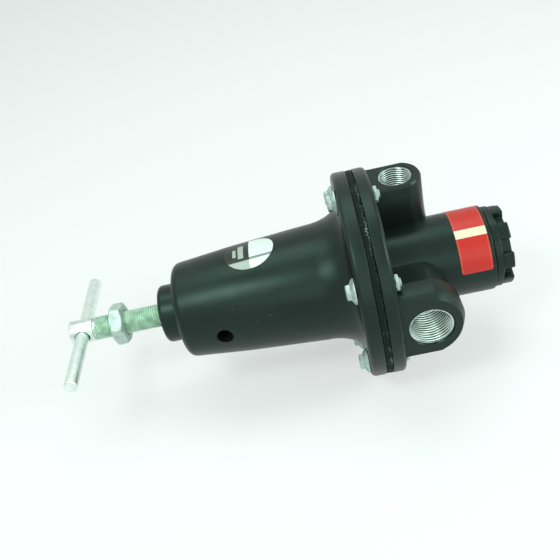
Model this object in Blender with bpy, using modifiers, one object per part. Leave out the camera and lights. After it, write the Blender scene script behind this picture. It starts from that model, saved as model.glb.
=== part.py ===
"""A T-handle air regulator, lying with its axis along X.

The adjusting screw with its T-bar is at the -X end and the castellated bottom
plug at the +X end. The smaller ports look up (+Z) and down, and the larger ports
look to the front (-Y) and the back (+Y). The origin is where the axes of all the
ports meet. A station is a position along X. Angles round the axis are in degrees,
measured from the upper port (+Z) towards the front port (-Y).
"""

import math

import bmesh
import bpy
from mathutils import Vector

MM = 0.001
INCH = 25.4 * MM
AXIS = Vector((1.0, 0.0, 0.0))
BACK = Vector((0.0, 1.0, 0.0))
FULL_TURN = 360.0

# Clearances and facets
GAP = 0.3 * MM
DRILL_OVERRUN = 1.0 * MM
MERGE = 0.00001
ROUND_STEPS = 40
INNER_STEPS = 24
SMALL_STEPS = 24
TINY_STEPS = 12
SHORT_ARC_STEPS = 2
LONG_ARC_STEPS = 4
ROLL_STEPS = 4
RING_STEPS = 6
RANGE_COIL_STEPS = 14
VALVE_COIL_STEPS = 10
COIL_BEVEL_STEPS = 2
BALL_STEPS = 8
SHARP_ANGLE = 35.0

# Bottom plug
PLUG_HEAD_RADIUS = 23.6 * MM
PLUG_HEAD_LENGTH = 10.2 * MM
PLUG_SKIRT_LENGTH = 15.0 * MM
PLUG_NOTCHES = 8
NOTCH_START = 10.0
NOTCH_WIDTH = 7.6 * MM
NOTCH_DEPTH = 6.0 * MM
NOTCH_REACH = 5.0 * MM
LUG_STEP = 0.6 * MM
LUG_ROUND = 0.8 * MM
O_RING_RADIUS = 1.0 * MM
O_RING_CLEARANCE = 0.09 * MM
O_RING_GROOVE_WIDTH = 2.6 * MM
O_RING_FROM_HEAD = 2.4 * MM
SPRING_POCKET_DEPTH = 3.0 * MM
SPRING_ROOM = 0.4 * MM
STEM_ROOM = 1.0 * MM
SKIRT_RELIEF = 1.0 * MM

# Valve body
BARREL_RADIUS = 24.7 * MM
BARREL_LENGTH = 58.6 * MM
BARREL_WALL = 4.0 * MM
BARREL_EDGE_ROUND = 0.8 * MM
CHAMBER_RADIUS = 18.5 * MM
WEB_THICKNESS = 6.0 * MM
BODY_FLANGE_THICKNESS = 7.5 * MM
BODY_FILLET = 3.2 * MM
FLANGE_RADIUS = 60.5 * MM
FLANGE_EDGE_ROUND = 2.6 * MM
SEAM_EDGE_ROUND = 0.6 * MM
DIAPHRAGM_CHAMBER_RADIUS = 33.0 * MM
DIAPHRAGM_CHAMBER_DEPTH = 4.6 * MM
PORT_FROM_FLANGE = 14.1 * MM
BOSS_SUNK = 1.0 * MM
BOSS_FOOT = 12.0 * MM
PORT_MOUTH_CHAMFER = 1.0 * MM
GALLERY_SHOULDER = 0.8 * MM

# Large ports, front and back
LARGE_PORT_RADIUS = 12.3 * MM
LARGE_FACE_BELOW_RIM = 4.5 * MM
BOSS_NUT_ROOM = 5.35 * MM
LARGE_FACE_TAPER = 2.9 * MM
LARGE_TAPER_HEIGHT = 3.8 * MM
TAPER_KNEE = 0.25
LARGE_COLLAR_HEIGHT = 15.0 * MM
LARGE_NECK_INSET = 6.0 * MM
LARGE_SOCKET_DEPTH = 26.0 * MM
LARGE_GALLERY_RADIUS = 5.0 * MM

# Small ports, top and bottom
SMALL_PORT_RADIUS = 9.65 * MM
SMALL_FACE_BELOW_RIM = 10.5 * MM
SMALL_BOSS_HALF_WIDTH = 12.5 * MM
SMALL_NUT_ROOM = 0.9 * MM
SMALL_FACE_TAPER = 1.0 * MM
SMALL_ROOT_HEIGHT = 6.0 * MM
SMALL_ROOT_FLARE = 2.5 * MM
SMALL_SOCKET_DEPTH = 22.0 * MM
SMALL_GALLERY_RADIUS = 4.0 * MM
GAUGE_PLUG_LENGTH = 13.0 * MM
GAUGE_PLUG_KEY = 9.5 * MM
GAUGE_PLUG_KEY_DEPTH = 7.0 * MM
GAUGE_PLUG_SUNK = 0.5 * MM

# Diaphragm, gasket and flange screws
DIAPHRAGM_THICKNESS = 2.7 * MM
GASKET_THICKNESS = 1.6 * MM
GASKET_WIDTH = 17.5 * MM
CONVOLUTION_HEIGHT = 2.2 * MM
CONVOLUTION_WIDTH = 6.0 * MM
ROLL_MARGIN = 0.7 * MM
SCREW_COUNT = 6
SCREW_FROM_RIM = 8.2 * MM
SCREW_RADIUS = 2.4 * MM
SCREW_HOLE_RADIUS = 2.8 * MM
SCREW_WASHER_RADIUS = 7.1 * MM
SCREW_WASHER_THICKNESS = 1.4 * MM
SCREW_HEX_WIDTH = 8.0 * MM
SCREW_HEX_HEIGHT = 3.6 * MM
NUT_HEX_WIDTH = 8.0 * MM
NUT_THICKNESS = 2.4 * MM

# Bonnet
BONNET_FLANGE_THICKNESS = 8.6 * MM
BONNET_LENGTH = 103.9 * MM
FLARE_LENGTH = 20.0 * MM
BONNET_FLARE_RADIUS = 34.5 * MM
BONNET_BEND_RADIUS = 31.6 * MM
BONNET_BEND_FROM_END = 38.9 * MM
BONNET_END_RADIUS = 27.9 * MM
BONNET_SHOULDER_ROUND = 5.0 * MM
NECK_RADIUS = 17.2 * MM
NECK_LENGTH = 9.4 * MM
NECK_ROUND = 2.6 * MM
NECK_THREAD_LENGTH = 15.7 * MM
CAGE_WALL = 5.6 * MM
CAGE_RELIEF = 6.0 * MM
RECESS_DEPTH = 8.0 * MM
VENT_RADIUS = 4.75 * MM
VENT_FROM_END = 27.5 * MM
VENT_ANGLE = 90.0

# Adjusting screw, T-bar and lock nut
THREAD_RADIUS = 6.95 * MM
SCREW_THREADS_PER_INCH = 18
SCREW_TURNS = 10
SCREW_EXPOSED = 43.2 * MM
SCREW_HEAD_RADIUS = 7.2 * MM
SCREW_HEAD_LENGTH = 14.3 * MM
SCREW_GROOVE_RADIUS = 5.9 * MM
SCREW_GROOVE_WIDTH = 1.2 * MM
HEAD_CHAMFER = 0.6 * MM
TIP_CHAMFER = 1.2 * MM
SCREW_TIP_INSIDE = 2.0 * MM
TEE_RADIUS = 3.97 * MM
TEE_LENGTH = 101.6 * MM
TEE_ANGLE = 86.0
TEE_CHAMFER = 0.6 * MM
TEE_HOLE_CHAMFER = 1.2 * MM
LOCK_NUT_WIDTH = 22.2 * MM
LOCK_NUT_THICKNESS = 7.9 * MM
LOCK_NUT_FROM_NECK = 23.4 * MM
LOCK_NUT_FACE_STEP = 0.3 * MM
LOCK_NUT_ROLL = 8.0

# Range spring and diaphragm stack
BALL_RADIUS = 4.0 * MM
BALL_PROUD = 1.6 * MM
REST_CLEARANCE = 0.5 * MM
REST_THICKNESS = 6.0 * MM
SPRING_SIDE_ROOM = 3.1 * MM
RANGE_WIRE_RADIUS = 2.1 * MM
RANGE_SPRING_TURNS = 7
SPIGOT_CLEARANCE = 0.6 * MM
SPIGOT_HEIGHT = 4.0 * MM
SPIGOT_DRAFT = 0.8 * MM
PLATE_RADIUS = 29.0 * MM
PLATE_THICKNESS = 2.4 * MM
PLATE_RIM_HEIGHT = 2.6 * MM
STUD_RADIUS = 4.6 * MM
STUD_PROUD = 1.5 * MM
RELIEF_PLATE_RADIUS = 26.5 * MM
RELIEF_PLATE_THICKNESS = 2.0 * MM
RELIEF_NOSE_HEIGHT = 1.5 * MM
RELIEF_BORE_RADIUS = 1.2 * MM
NOSE_SHARE = 0.8
STACK_NUT_WIDTH = 13.0 * MM
STACK_NUT_THICKNESS = 4.5 * MM

# Valve
VALVE_STROKE = 2.5 * MM
SEAT_RADIUS = 9.0 * MM
SEAT_BORE_RADIUS = 6.0 * MM
SEAT_COLLAR_RADIUS = 11.5 * MM
SEAT_COLLAR_THICKNESS = 1.5 * MM
SEAT_LIP = 0.9 * MM
SEAT_O_RING_RADIUS = 0.8 * MM
SEAT_GROOVE_WIDTH = 2.08 * MM
PIN_RADIUS = 2.2 * MM
PIN_SUNK = 1.5 * MM
PIN_NOSE_RADIUS = 1.54 * MM
FACING_RADIUS = 8.6 * MM
FACING_THICKNESS = 2.0 * MM
POPPET_RADIUS = 9.6 * MM
POPPET_THICKNESS = 5.0 * MM
STEM_RADIUS = 4.0 * MM
STEM_IN_PLUG = 8.0 * MM
VALVE_SPRING_RADIUS = 6.8 * MM
VALVE_WIRE_RADIUS = 0.9 * MM
VALVE_SPRING_TURNS = 5
CLOSED_TURN_RISE = 1.05

# Sizes that follow from the ones above
SCREW_TRAVEL = SCREW_TURNS * INCH / SCREW_THREADS_PER_INCH
SCREW_STEP_ANGLE = FULL_TURN / SCREW_COUNT
SCREW_CIRCLE_RADIUS = FLANGE_RADIUS - SCREW_FROM_RIM
FLARE_FOOT_RADIUS = SCREW_CIRCLE_RADIUS - SCREW_WASHER_RADIUS - GAP
SMALL_FACE_HEIGHT = FLANGE_RADIUS - SMALL_FACE_BELOW_RIM
SMALL_BOSS_BACK = NUT_HEX_WIDTH / math.sqrt(3.0) + SMALL_NUT_ROOM + SMALL_BOSS_HALF_WIDTH
LARGE_FACE_HEIGHT = FLANGE_RADIUS - LARGE_FACE_BELOW_RIM
NUT_OFFSET = SCREW_CIRCLE_RADIUS * math.sin(math.radians(0.5 * SCREW_STEP_ANGLE))
LARGE_BOSS_HALF_WIDTH = NUT_OFFSET - BOSS_NUT_ROOM
BARREL_BORE_RADIUS = BARREL_RADIUS - BARREL_WALL
SKIRT_RADIUS = BARREL_BORE_RADIUS - GAP
CAGE_RADIUS = BONNET_END_RADIUS - CAGE_WALL
REST_RADIUS = CAGE_RADIUS - REST_CLEARANCE
RANGE_SPRING_RADIUS = REST_RADIUS - RANGE_WIRE_RADIUS - SPRING_SIDE_ROOM
RECESS_RADIUS = PLATE_RADIUS + CONVOLUTION_WIDTH
SPIGOT_RADIUS = RANGE_SPRING_RADIUS - RANGE_WIRE_RADIUS - SPIGOT_CLEARANCE

# Stations along X, first from the ports to the plug and then towards the T-bar
PORT_STATION = 0.0
BODY_FLANGE_BACK = PORT_STATION - PORT_FROM_FLANGE
BARREL_END = BODY_FLANGE_BACK + BARREL_LENGTH
PLUG_SHOULDER = BARREL_END + GAP
PLUG_END = PLUG_SHOULDER + PLUG_HEAD_LENGTH
SKIRT_END = PLUG_SHOULDER - PLUG_SKIRT_LENGTH
STEM_END = SKIRT_END + STEM_IN_PLUG
NUT_RIGHT = BODY_FLANGE_BACK + GAP + NUT_THICKNESS
BODY_FLANGE_FACE = BODY_FLANGE_BACK - BODY_FLANGE_THICKNESS
GASKET_FACE = BODY_FLANGE_FACE - GAP
DIAPHRAGM_FACE = GASKET_FACE - GASKET_THICKNESS - GAP
RELIEF_PLATE_LEFT = DIAPHRAGM_FACE + GAP
RELIEF_NOSE = RELIEF_PLATE_LEFT + RELIEF_PLATE_THICKNESS + RELIEF_NOSE_HEIGHT
PLATE_FACE = DIAPHRAGM_FACE - DIAPHRAGM_THICKNESS - GAP
BONNET_FACE = PLATE_FACE
BONNET_FLANGE_BACK = BONNET_FACE - BONNET_FLANGE_THICKNESS
BONNET_END = BONNET_FLANGE_BACK - BONNET_LENGTH
NECK_END = BONNET_END - NECK_LENGTH
CAGE_END = NECK_END + NECK_THREAD_LENGTH
HEAD_FACE = NECK_END - SCREW_EXPOSED
HEAD_END = HEAD_FACE - SCREW_HEAD_LENGTH
SCREW_TIP = CAGE_END + SCREW_TIP_INSIDE
BALL_STATION = SCREW_TIP + BALL_PROUD
REST_FACE = BALL_STATION + BALL_PROUD
WEB_LEFT = PORT_STATION - 0.5 * WEB_THICKNESS
WEB_RIGHT = PORT_STATION + 0.5 * WEB_THICKNESS
SEAT_RIGHT = WEB_RIGHT + GAP + SEAT_COLLAR_THICKNESS + SEAT_LIP
FACING_LEFT = SEAT_RIGHT + GAP
POPPET_LEFT = FACING_LEFT + FACING_THICKNESS + GAP
POPPET_RIGHT = POPPET_LEFT + POPPET_THICKNESS


def clear_scene():
    """Empties the scene."""
    for old in list(bpy.data.objects):
        bpy.data.objects.remove(old, do_unlink=True)


def new_collection(name):
    """A collection linked to the scene."""
    collection = bpy.data.collections.new(name)
    bpy.context.scene.collection.children.link(collection)
    return collection


clear_scene()
PARTS = new_collection("t_handle_air_regulator")
CUTTERS = new_collection("cutters")


def make_material(name, colour, roughness, metallic):
    """A Principled material of one linear colour."""
    material = bpy.data.materials.new(name)
    material.use_nodes = True
    shader = material.node_tree.nodes["Principled BSDF"]
    shader.inputs["Base Color"].default_value = (*colour, 1.0)
    shader.inputs["Roughness"].default_value = roughness
    shader.inputs["Metallic"].default_value = metallic
    return material


def add_object(name, data, material=None):
    """Links a mesh or curve as a part, or as a hidden cutter when it has no material."""
    thing = bpy.data.objects.new(name, data)
    if material is None:
        CUTTERS.objects.link(thing)
        thing.hide_render = True
        thing.display_type = "WIRE"
        return thing
    data.materials.append(material)
    PARTS.objects.link(thing)
    return thing


def direction(angle):
    """The unit vector across the axis at an angle in degrees from +Z towards -Y."""
    turn = math.radians(angle)
    return Vector((0.0, -math.sin(turn), math.cos(turn)))


def place_at(angle, radius, station):
    """The point at a radius from the axis, at an angle and a station."""
    return direction(angle) * radius + AXIS * station


def arc(station, radius, along, across, start, end, steps):
    """Points of an elliptical arc in the (station, radius) plane.

    The angles are in degrees: 0 points to +X and 90 away from the axis.
    """
    points = []
    for step in range(steps + 1):
        turn = math.radians(start + (end - start) * step / steps)
        points.append((station + along * math.cos(turn), radius + across * math.sin(turn)))
    return points


def turned(name, outline, origin=0.0, material=None, steps=ROUND_STEPS, closed=False):
    """A turned shape round the X axis, from (station, radius) points.

    The outline runs from +X to -X along its outer side. An open outline starts and
    ends on the axis, and a closed one makes a ring.
    """
    mesh = bpy.data.meshes.new(name)
    points = [(radius, 0.0, station - origin) for station, radius in outline]
    edges = [(index, index + 1) for index in range(len(points) - 1)]
    if closed:
        edges.append((len(points) - 1, 0))
    mesh.from_pydata(points, edges, [])
    thing = add_object(name, mesh, material)
    thing.location = (origin, 0.0, 0.0)
    thing.rotation_euler = (0.0, math.radians(90.0), 0.0)
    screw = thing.modifiers.new("turn", "SCREW")
    screw.axis = "Z"
    screw.steps = steps
    screw.render_steps = steps
    screw.use_merge_vertices = True
    screw.merge_threshold = MERGE
    screw.use_smooth_shade = True
    return thing


def prism(name, sides, radius, length, material=None):
    """A prism or cylinder along its local Z, centred on its origin."""
    mesh = bpy.data.meshes.new(name)
    form = bmesh.new()
    bmesh.ops.create_cone(
        form, cap_ends=True, segments=sides, radius1=radius, radius2=radius, depth=length
    )
    form.to_mesh(mesh)
    form.free()
    return add_object(name, mesh, material)


def block(name, low, high, angle=0.0):
    """A hidden box between two corners, then turned round the X axis by an angle."""
    mesh = bpy.data.meshes.new(name)
    form = bmesh.new()
    bmesh.ops.create_cube(form, size=1.0)
    low, high = Vector(low), Vector(high)
    for corner in form.verts:
        corner.co = (low + high) / 2.0 + corner.co * (high - low)
    form.to_mesh(mesh)
    form.free()
    thing = add_object(name, mesh)
    thing.rotation_euler = (math.radians(angle), 0.0, 0.0)
    return thing


def aim(thing, way, place):
    """Puts an object at a place with its local Z along a direction."""
    thing.rotation_euler = way.to_track_quat("Z", "Y").to_euler()
    thing.location = place
    return thing


def combine(target, tool, operation):
    """Adds a Boolean modifier with the exact solver."""
    step = target.modifiers.new(tool.name, "BOOLEAN")
    step.operation = operation
    step.solver = "EXACT"
    step.object = tool


def finished_mesh(thing):
    """The mesh that an object's modifiers make."""
    graph = bpy.context.evaluated_depsgraph_get()
    return bpy.data.meshes.new_from_object(thing.evaluated_get(graph))


def hexagon_radius(width):
    """The corner radius of a hexagon of a given width across its flats."""
    return 0.5 * width / math.cos(math.radians(30.0))


def screw_angles():
    """Angles of the flange screws, the first one under the upper port."""
    return [SCREW_STEP_ANGLE * index for index in range(SCREW_COUNT)]


def drill_flange(target, left, right):
    """Drills the ring of screw holes through what lies between two stations."""
    for index, angle in enumerate(screw_angles(), start=1):
        name = f"hole_{target.name}_{index}"
        drill = prism(name, TINY_STEPS, SCREW_HOLE_RADIUS, right - left + 2.0 * DRILL_OVERRUN)
        middle = 0.5 * (left + right)
        aim(drill, AXIS, place_at(angle, SCREW_CIRCLE_RADIUS, middle))
        combine(target, drill, "DIFFERENCE")


def flange_rim(left, right, left_round, right_round):
    """Outline of a flange's rim from its +X side to its -X side, with rounded edges."""
    outer = FLANGE_RADIUS
    steps = SHORT_ARC_STEPS
    rim = arc(right - right_round, outer - right_round, right_round, right_round, 0, 90, steps)
    rim += arc(left + left_round, outer - left_round, left_round, left_round, 90, 180, steps)
    return rim


def make_bonnet(paint):
    """The spring cage: neck, shoulder, two-stage taper, flare and flange in one casting."""
    flare_start = BONNET_FLANGE_BACK - FLARE_LENGTH
    guide_end = REST_FACE + REST_THICKNESS + SCREW_TRAVEL + CAGE_RELIEF
    outline = [(BONNET_FACE, RECESS_RADIUS)]
    outline += flange_rim(BONNET_FLANGE_BACK, BONNET_FACE, FLANGE_EDGE_ROUND, SEAM_EDGE_ROUND)
    flare_height = FLARE_FOOT_RADIUS - BONNET_FLARE_RADIUS
    outline += arc(
        flare_start, FLARE_FOOT_RADIUS, FLARE_LENGTH, flare_height, 0, -90, LONG_ARC_STEPS + 1
    )
    outline.append((BONNET_END + BONNET_BEND_FROM_END, BONNET_BEND_RADIUS))
    edge = BONNET_SHOULDER_ROUND
    shoulder = BONNET_END_RADIUS - edge
    outline += arc(BONNET_END + edge, shoulder, edge, edge, 90, 180, LONG_ARC_STEPS)
    outline.append((BONNET_END, NECK_RADIUS))
    edge = NECK_ROUND
    outline += arc(NECK_END + edge, NECK_RADIUS - edge, edge, edge, 90, 180, SHORT_ARC_STEPS)
    outline.append((NECK_END, THREAD_RADIUS + GAP))
    outline.append((CAGE_END, THREAD_RADIUS + GAP))
    outline.append((CAGE_END, CAGE_RADIUS))
    outline.append((guide_end, CAGE_RADIUS))
    outline.append((flare_start, BONNET_FLARE_RADIUS - CAGE_WALL))
    outline.append((BONNET_FACE - RECESS_DEPTH, RECESS_RADIUS))
    bonnet = turned("bonnet", outline, BONNET_FACE, paint, closed=True)
    drill_flange(bonnet, BONNET_FLANGE_BACK, BONNET_FACE)
    vent = prism("vent_drill", SMALL_STEPS, VENT_RADIUS, BONNET_END_RADIUS)
    vent_place = place_at(VENT_ANGLE, BONNET_END_RADIUS, BONNET_END + VENT_FROM_END)
    aim(vent, direction(VENT_ANGLE), vent_place)
    combine(bonnet, vent, "DIFFERENCE")


def boss(name, sections, angle):
    """A U-shaped port boss lofted through (height, half width) sections.

    Each section is a straight-sided U round the port's axis, and its open end lies just
    inside the flange, so it ends at the same station at every height.
    """
    reach = PORT_FROM_FLANGE + BOSS_SUNK
    bend_steps = SMALL_STEPS // 2
    mesh = bpy.data.meshes.new(name)
    form = bmesh.new()
    rings = []
    for height, half_width in sections:
        ring = [form.verts.new((-reach, -half_width, height))]
        for step in range(bend_steps + 1):
            turn = math.pi * (step / bend_steps - 0.5)
            place = (half_width * math.cos(turn), half_width * math.sin(turn), height)
            ring.append(form.verts.new(place))
        ring.append(form.verts.new((-reach, half_width, height)))
        rings.append(ring)
    for upper, lower in zip(rings, rings[1:]):
        for index, corner in enumerate(upper):
            after = (index + 1) % len(upper)
            form.faces.new((corner, lower[index], lower[after], upper[after]))
    form.faces.new(rings[0])
    form.faces.new(list(reversed(rings[-1])))
    bmesh.ops.recalc_face_normals(form, faces=form.faces)
    form.to_mesh(mesh)
    form.free()
    thing = add_object(name, mesh)
    thing.location = (PORT_STATION, 0.0, 0.0)
    thing.rotation_euler = (math.radians(angle), 0.0, 0.0)
    return thing


def large_boss(name, angle):
    """A large port boss: a chamfered collar on a neck that narrows to the barrel."""
    width, face = LARGE_BOSS_HALF_WIDTH, LARGE_FACE_HEIGHT
    collar = face - LARGE_COLLAR_HEIGHT
    sections = [
        (face, width - LARGE_FACE_TAPER),
        (face - TAPER_KNEE * LARGE_TAPER_HEIGHT, width - 0.5 * LARGE_FACE_TAPER),
        (face - LARGE_TAPER_HEIGHT, width),
        (collar, width),
    ]
    for step in range(1, LONG_ARC_STEPS + 1):
        turn = math.radians(90.0 * step / LONG_ARC_STEPS)
        drop = (collar - BOSS_FOOT) * (1.0 - math.cos(turn))
        sections.append((collar - drop, width - LARGE_NECK_INSET * math.sin(turn)))
    return boss(name, sections, angle)


def small_boss(name, angle):
    """A small port boss, set back from the axis so that its side clears a flange nut."""
    width, face = SMALL_BOSS_HALF_WIDTH, SMALL_FACE_HEIGHT
    root = BARREL_RADIUS + SMALL_ROOT_HEIGHT
    sections = [
        (face, width - SMALL_FACE_TAPER),
        (face - SMALL_FACE_TAPER, width - TAPER_KNEE * SMALL_FACE_TAPER),
        (root, width),
    ]
    for step in range(1, LONG_ARC_STEPS + 1):
        turn = math.radians(90.0 * step / LONG_ARC_STEPS)
        drop = SMALL_ROOT_HEIGHT * math.sin(turn)
        sections.append((root - drop, width + SMALL_ROOT_FLARE * (1.0 - math.cos(turn))))
    sections.append((BOSS_FOOT, width + SMALL_ROOT_FLARE))
    thing = boss(name, sections, angle)
    thing.location += BACK * SMALL_BOSS_BACK
    return thing


def drill_port(body, name, angle, radius, face, depth, gallery_radius, back, gallery_shift):
    """Cuts a socket with a chamfered mouth, and the drilled way from its floor inwards."""
    floor = face - depth
    mouth = radius + PORT_MOUTH_CHAMFER
    outline = [
        (face + DRILL_OVERRUN, 0.0),
        (face + DRILL_OVERRUN, mouth),
        (face, mouth),
        (face - PORT_MOUTH_CHAMFER, radius),
        (floor, radius),
        (floor, 0.0),
    ]
    socket = turned(f"socket_{name}", outline, steps=SMALL_STEPS)
    aim(socket, direction(angle), AXIS * PORT_STATION + BACK * back)
    combine(body, socket, "DIFFERENCE")
    near_side = max(back - gallery_radius, 0.0)
    chamber_height = math.sqrt(CHAMBER_RADIUS**2 - near_side**2)
    top, bottom = floor + DRILL_OVERRUN, chamber_height - 2.0 * DRILL_OVERRUN
    way = prism(f"gallery_{name}", TINY_STEPS, gallery_radius, top - bottom)
    way_place = place_at(angle, 0.5 * (top + bottom), PORT_STATION + gallery_shift)
    aim(way, direction(angle), way_place + BACK * back)
    combine(body, way, "DIFFERENCE")


def make_body(paint):
    """The valve body: flange, barrel, port bosses, chambers, web, sockets and galleries."""
    outline = [(BARREL_END, 0.0)]
    edge = BARREL_EDGE_ROUND
    outline += arc(BARREL_END - edge, BARREL_RADIUS - edge, edge, edge, 0, 90, SHORT_ARC_STEPS)
    edge = BODY_FILLET
    fillet = BODY_FLANGE_BACK + edge
    outline += arc(fillet, BARREL_RADIUS + edge, edge, edge, -90, -180, SHORT_ARC_STEPS)
    outline += flange_rim(BODY_FLANGE_FACE, BODY_FLANGE_BACK, SEAM_EDGE_ROUND, FLANGE_EDGE_ROUND)
    outline.append((BODY_FLANGE_FACE, 0.0))
    body = turned("valve_body", outline, PORT_STATION, paint)
    combine(body, small_boss("boss_top", 0.0), "UNION")
    combine(body, large_boss("boss_front", 90.0), "UNION")
    combine(body, small_boss("boss_bottom", 180.0), "UNION")
    combine(body, large_boss("boss_back", 270.0), "UNION")
    chamber_floor = BODY_FLANGE_FACE + DIAPHRAGM_CHAMBER_DEPTH
    step_station = SKIRT_END - SKIRT_RELIEF
    hollow = turned(
        "hollow",
        [
            (BARREL_END + DRILL_OVERRUN, 0.0),
            (BARREL_END + DRILL_OVERRUN, BARREL_BORE_RADIUS),
            (step_station, BARREL_BORE_RADIUS),
            (step_station, CHAMBER_RADIUS),
            (WEB_RIGHT, CHAMBER_RADIUS),
            (WEB_RIGHT, SEAT_RADIUS + GAP),
            (WEB_LEFT, SEAT_RADIUS + GAP),
            (WEB_LEFT, CHAMBER_RADIUS),
            (chamber_floor, CHAMBER_RADIUS),
            (chamber_floor, DIAPHRAGM_CHAMBER_RADIUS),
            (BODY_FLANGE_FACE - DRILL_OVERRUN, DIAPHRAGM_CHAMBER_RADIUS),
            (BODY_FLANGE_FACE - DRILL_OVERRUN, 0.0),
        ],
    )
    combine(body, hollow, "DIFFERENCE")
    large = (LARGE_PORT_RADIUS, LARGE_FACE_HEIGHT, LARGE_SOCKET_DEPTH, LARGE_GALLERY_RADIUS, 0.0)
    small = (SMALL_PORT_RADIUS, SMALL_FACE_HEIGHT, SMALL_SOCKET_DEPTH, SMALL_GALLERY_RADIUS)
    small += (SMALL_BOSS_BACK,)
    large_shift = LARGE_PORT_RADIUS - LARGE_GALLERY_RADIUS - GALLERY_SHOULDER
    small_shift = SMALL_PORT_RADIUS - SMALL_GALLERY_RADIUS - GALLERY_SHOULDER
    drill_port(body, "top", 0.0, *small, -small_shift)
    drill_port(body, "front", 90.0, *large, large_shift)
    drill_port(body, "bottom", 180.0, *small, -small_shift)
    drill_port(body, "back", 270.0, *large, -large_shift)
    drill_flange(body, BODY_FLANGE_FACE, BODY_FLANGE_BACK)


def make_bottom_plug(paint, rubber):
    """The castellated plug with its guide bore, spring pocket and O-ring groove."""
    groove_right = PLUG_SHOULDER - O_RING_FROM_HEAD
    groove_left = groove_right - O_RING_GROOVE_WIDTH
    groove_radius = SKIRT_RADIUS - 2.0 * O_RING_RADIUS
    pocket_floor = SKIRT_END + SPRING_POCKET_DEPTH
    lug_radius = PLUG_HEAD_RADIUS - LUG_STEP
    notch_floor = PLUG_END - NOTCH_DEPTH
    edge = LUG_ROUND
    outline = [(PLUG_END, 0.0)]
    outline += arc(PLUG_END - edge, lug_radius - edge, edge, edge, 0, 90, SHORT_ARC_STEPS)
    outline += [
        (notch_floor, lug_radius),
        (notch_floor - LUG_STEP, PLUG_HEAD_RADIUS),
        (PLUG_SHOULDER, PLUG_HEAD_RADIUS),
        (PLUG_SHOULDER, SKIRT_RADIUS),
        (groove_right, SKIRT_RADIUS),
        (groove_right, groove_radius),
        (groove_left, groove_radius),
        (groove_left, SKIRT_RADIUS),
        (SKIRT_END, SKIRT_RADIUS),
        (SKIRT_END, VALVE_SPRING_RADIUS + VALVE_WIRE_RADIUS + SPRING_ROOM),
        (pocket_floor, VALVE_SPRING_RADIUS + VALVE_WIRE_RADIUS + SPRING_ROOM),
        (pocket_floor, VALVE_SPRING_RADIUS - VALVE_WIRE_RADIUS - SPRING_ROOM),
        (SKIRT_END, VALVE_SPRING_RADIUS - VALVE_WIRE_RADIUS - SPRING_ROOM),
        (SKIRT_END, STEM_RADIUS + GAP),
        (STEM_END + VALVE_STROKE + STEM_ROOM, STEM_RADIUS + GAP),
        (STEM_END + VALVE_STROKE + STEM_ROOM, 0.0),
    ]
    plug = turned("bottom_plug", outline, PLUG_END, paint)
    for index in range(PLUG_NOTCHES):
        notch = block(
            f"notch_{index + 1}",
            (notch_floor, -0.5 * NOTCH_WIDTH, lug_radius - NOTCH_REACH),
            (PLUG_END + DRILL_OVERRUN, 0.5 * NOTCH_WIDTH, lug_radius + DRILL_OVERRUN),
            NOTCH_START + FULL_TURN * index / PLUG_NOTCHES,
        )
        combine(plug, notch, "DIFFERENCE")
    ring_station = 0.5 * (groove_right + groove_left)
    ring(
        "plug_o_ring",
        ring_station,
        groove_radius + O_RING_RADIUS + O_RING_CLEARANCE,
        O_RING_RADIUS - O_RING_CLEARANCE,
        rubber,
        ROUND_STEPS,
    )


def ring(name, station, radius, thickness, material, steps):
    """A round-section ring on the axis."""
    section = arc(station, radius, thickness, thickness, 0, 360, RING_STEPS)[:-1]
    return turned(name, section, station, material, steps, closed=True)


def make_gauge_plug(steel):
    """The hexagon-socket plug in the bottom port."""
    outer = SMALL_FACE_HEIGHT - GAUGE_PLUG_SUNK
    inner = outer - GAUGE_PLUG_LENGTH
    radius = SMALL_PORT_RADIUS - GAP
    outline = [
        (outer, 0.0),
        (outer, radius - GAP),
        (outer - GAP, radius),
        (inner, radius),
        (inner, 0.0),
    ]
    plug = turned("gauge_plug", outline, 0.0, steel, SMALL_STEPS)
    aim(plug, direction(180.0), AXIS * PORT_STATION + BACK * SMALL_BOSS_BACK)
    key = prism("gauge_key", 6, hexagon_radius(GAUGE_PLUG_KEY), 2.0 * GAUGE_PLUG_KEY_DEPTH)
    aim(key, direction(180.0), place_at(180.0, outer, PORT_STATION) + BACK * SMALL_BOSS_BACK)
    combine(plug, key, "DIFFERENCE")


def make_flange_stack(rubber, fibre):
    """The diaphragm with its rolled convolution, and the gasket."""
    left = DIAPHRAGM_FACE - DIAPHRAGM_THICKNESS
    outer = FLANGE_RADIUS - GAP
    roll_inner = PLATE_RADIUS + ROLL_MARGIN
    roll_outer = RECESS_RADIUS - ROLL_MARGIN
    roll = []
    for step in range(ROLL_STEPS + 1):
        share = step / ROLL_STEPS
        lift = CONVOLUTION_HEIGHT * math.sin(math.pi * share) ** 2
        roll.append((lift, roll_inner + (roll_outer - roll_inner) * share))
    outline = [(DIAPHRAGM_FACE, outer), (left, outer)]
    outline += [(left - lift, radius) for lift, radius in reversed(roll)]
    outline += [(left, STUD_RADIUS + GAP), (DIAPHRAGM_FACE, STUD_RADIUS + GAP)]
    outline += [(DIAPHRAGM_FACE - lift, radius) for lift, radius in roll]
    diaphragm = turned("diaphragm", outline, DIAPHRAGM_FACE, rubber, closed=True)
    drill_flange(diaphragm, left, DIAPHRAGM_FACE)
    gasket_left = GASKET_FACE - GASKET_THICKNESS
    gasket = turned(
        "flange_gasket",
        [
            (GASKET_FACE, outer),
            (gasket_left, outer),
            (gasket_left, outer - GASKET_WIDTH),
            (GASKET_FACE, outer - GASKET_WIDTH),
        ],
        GASKET_FACE,
        fibre,
        closed=True,
    )
    drill_flange(gasket, gasket_left, GASKET_FACE)


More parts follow.
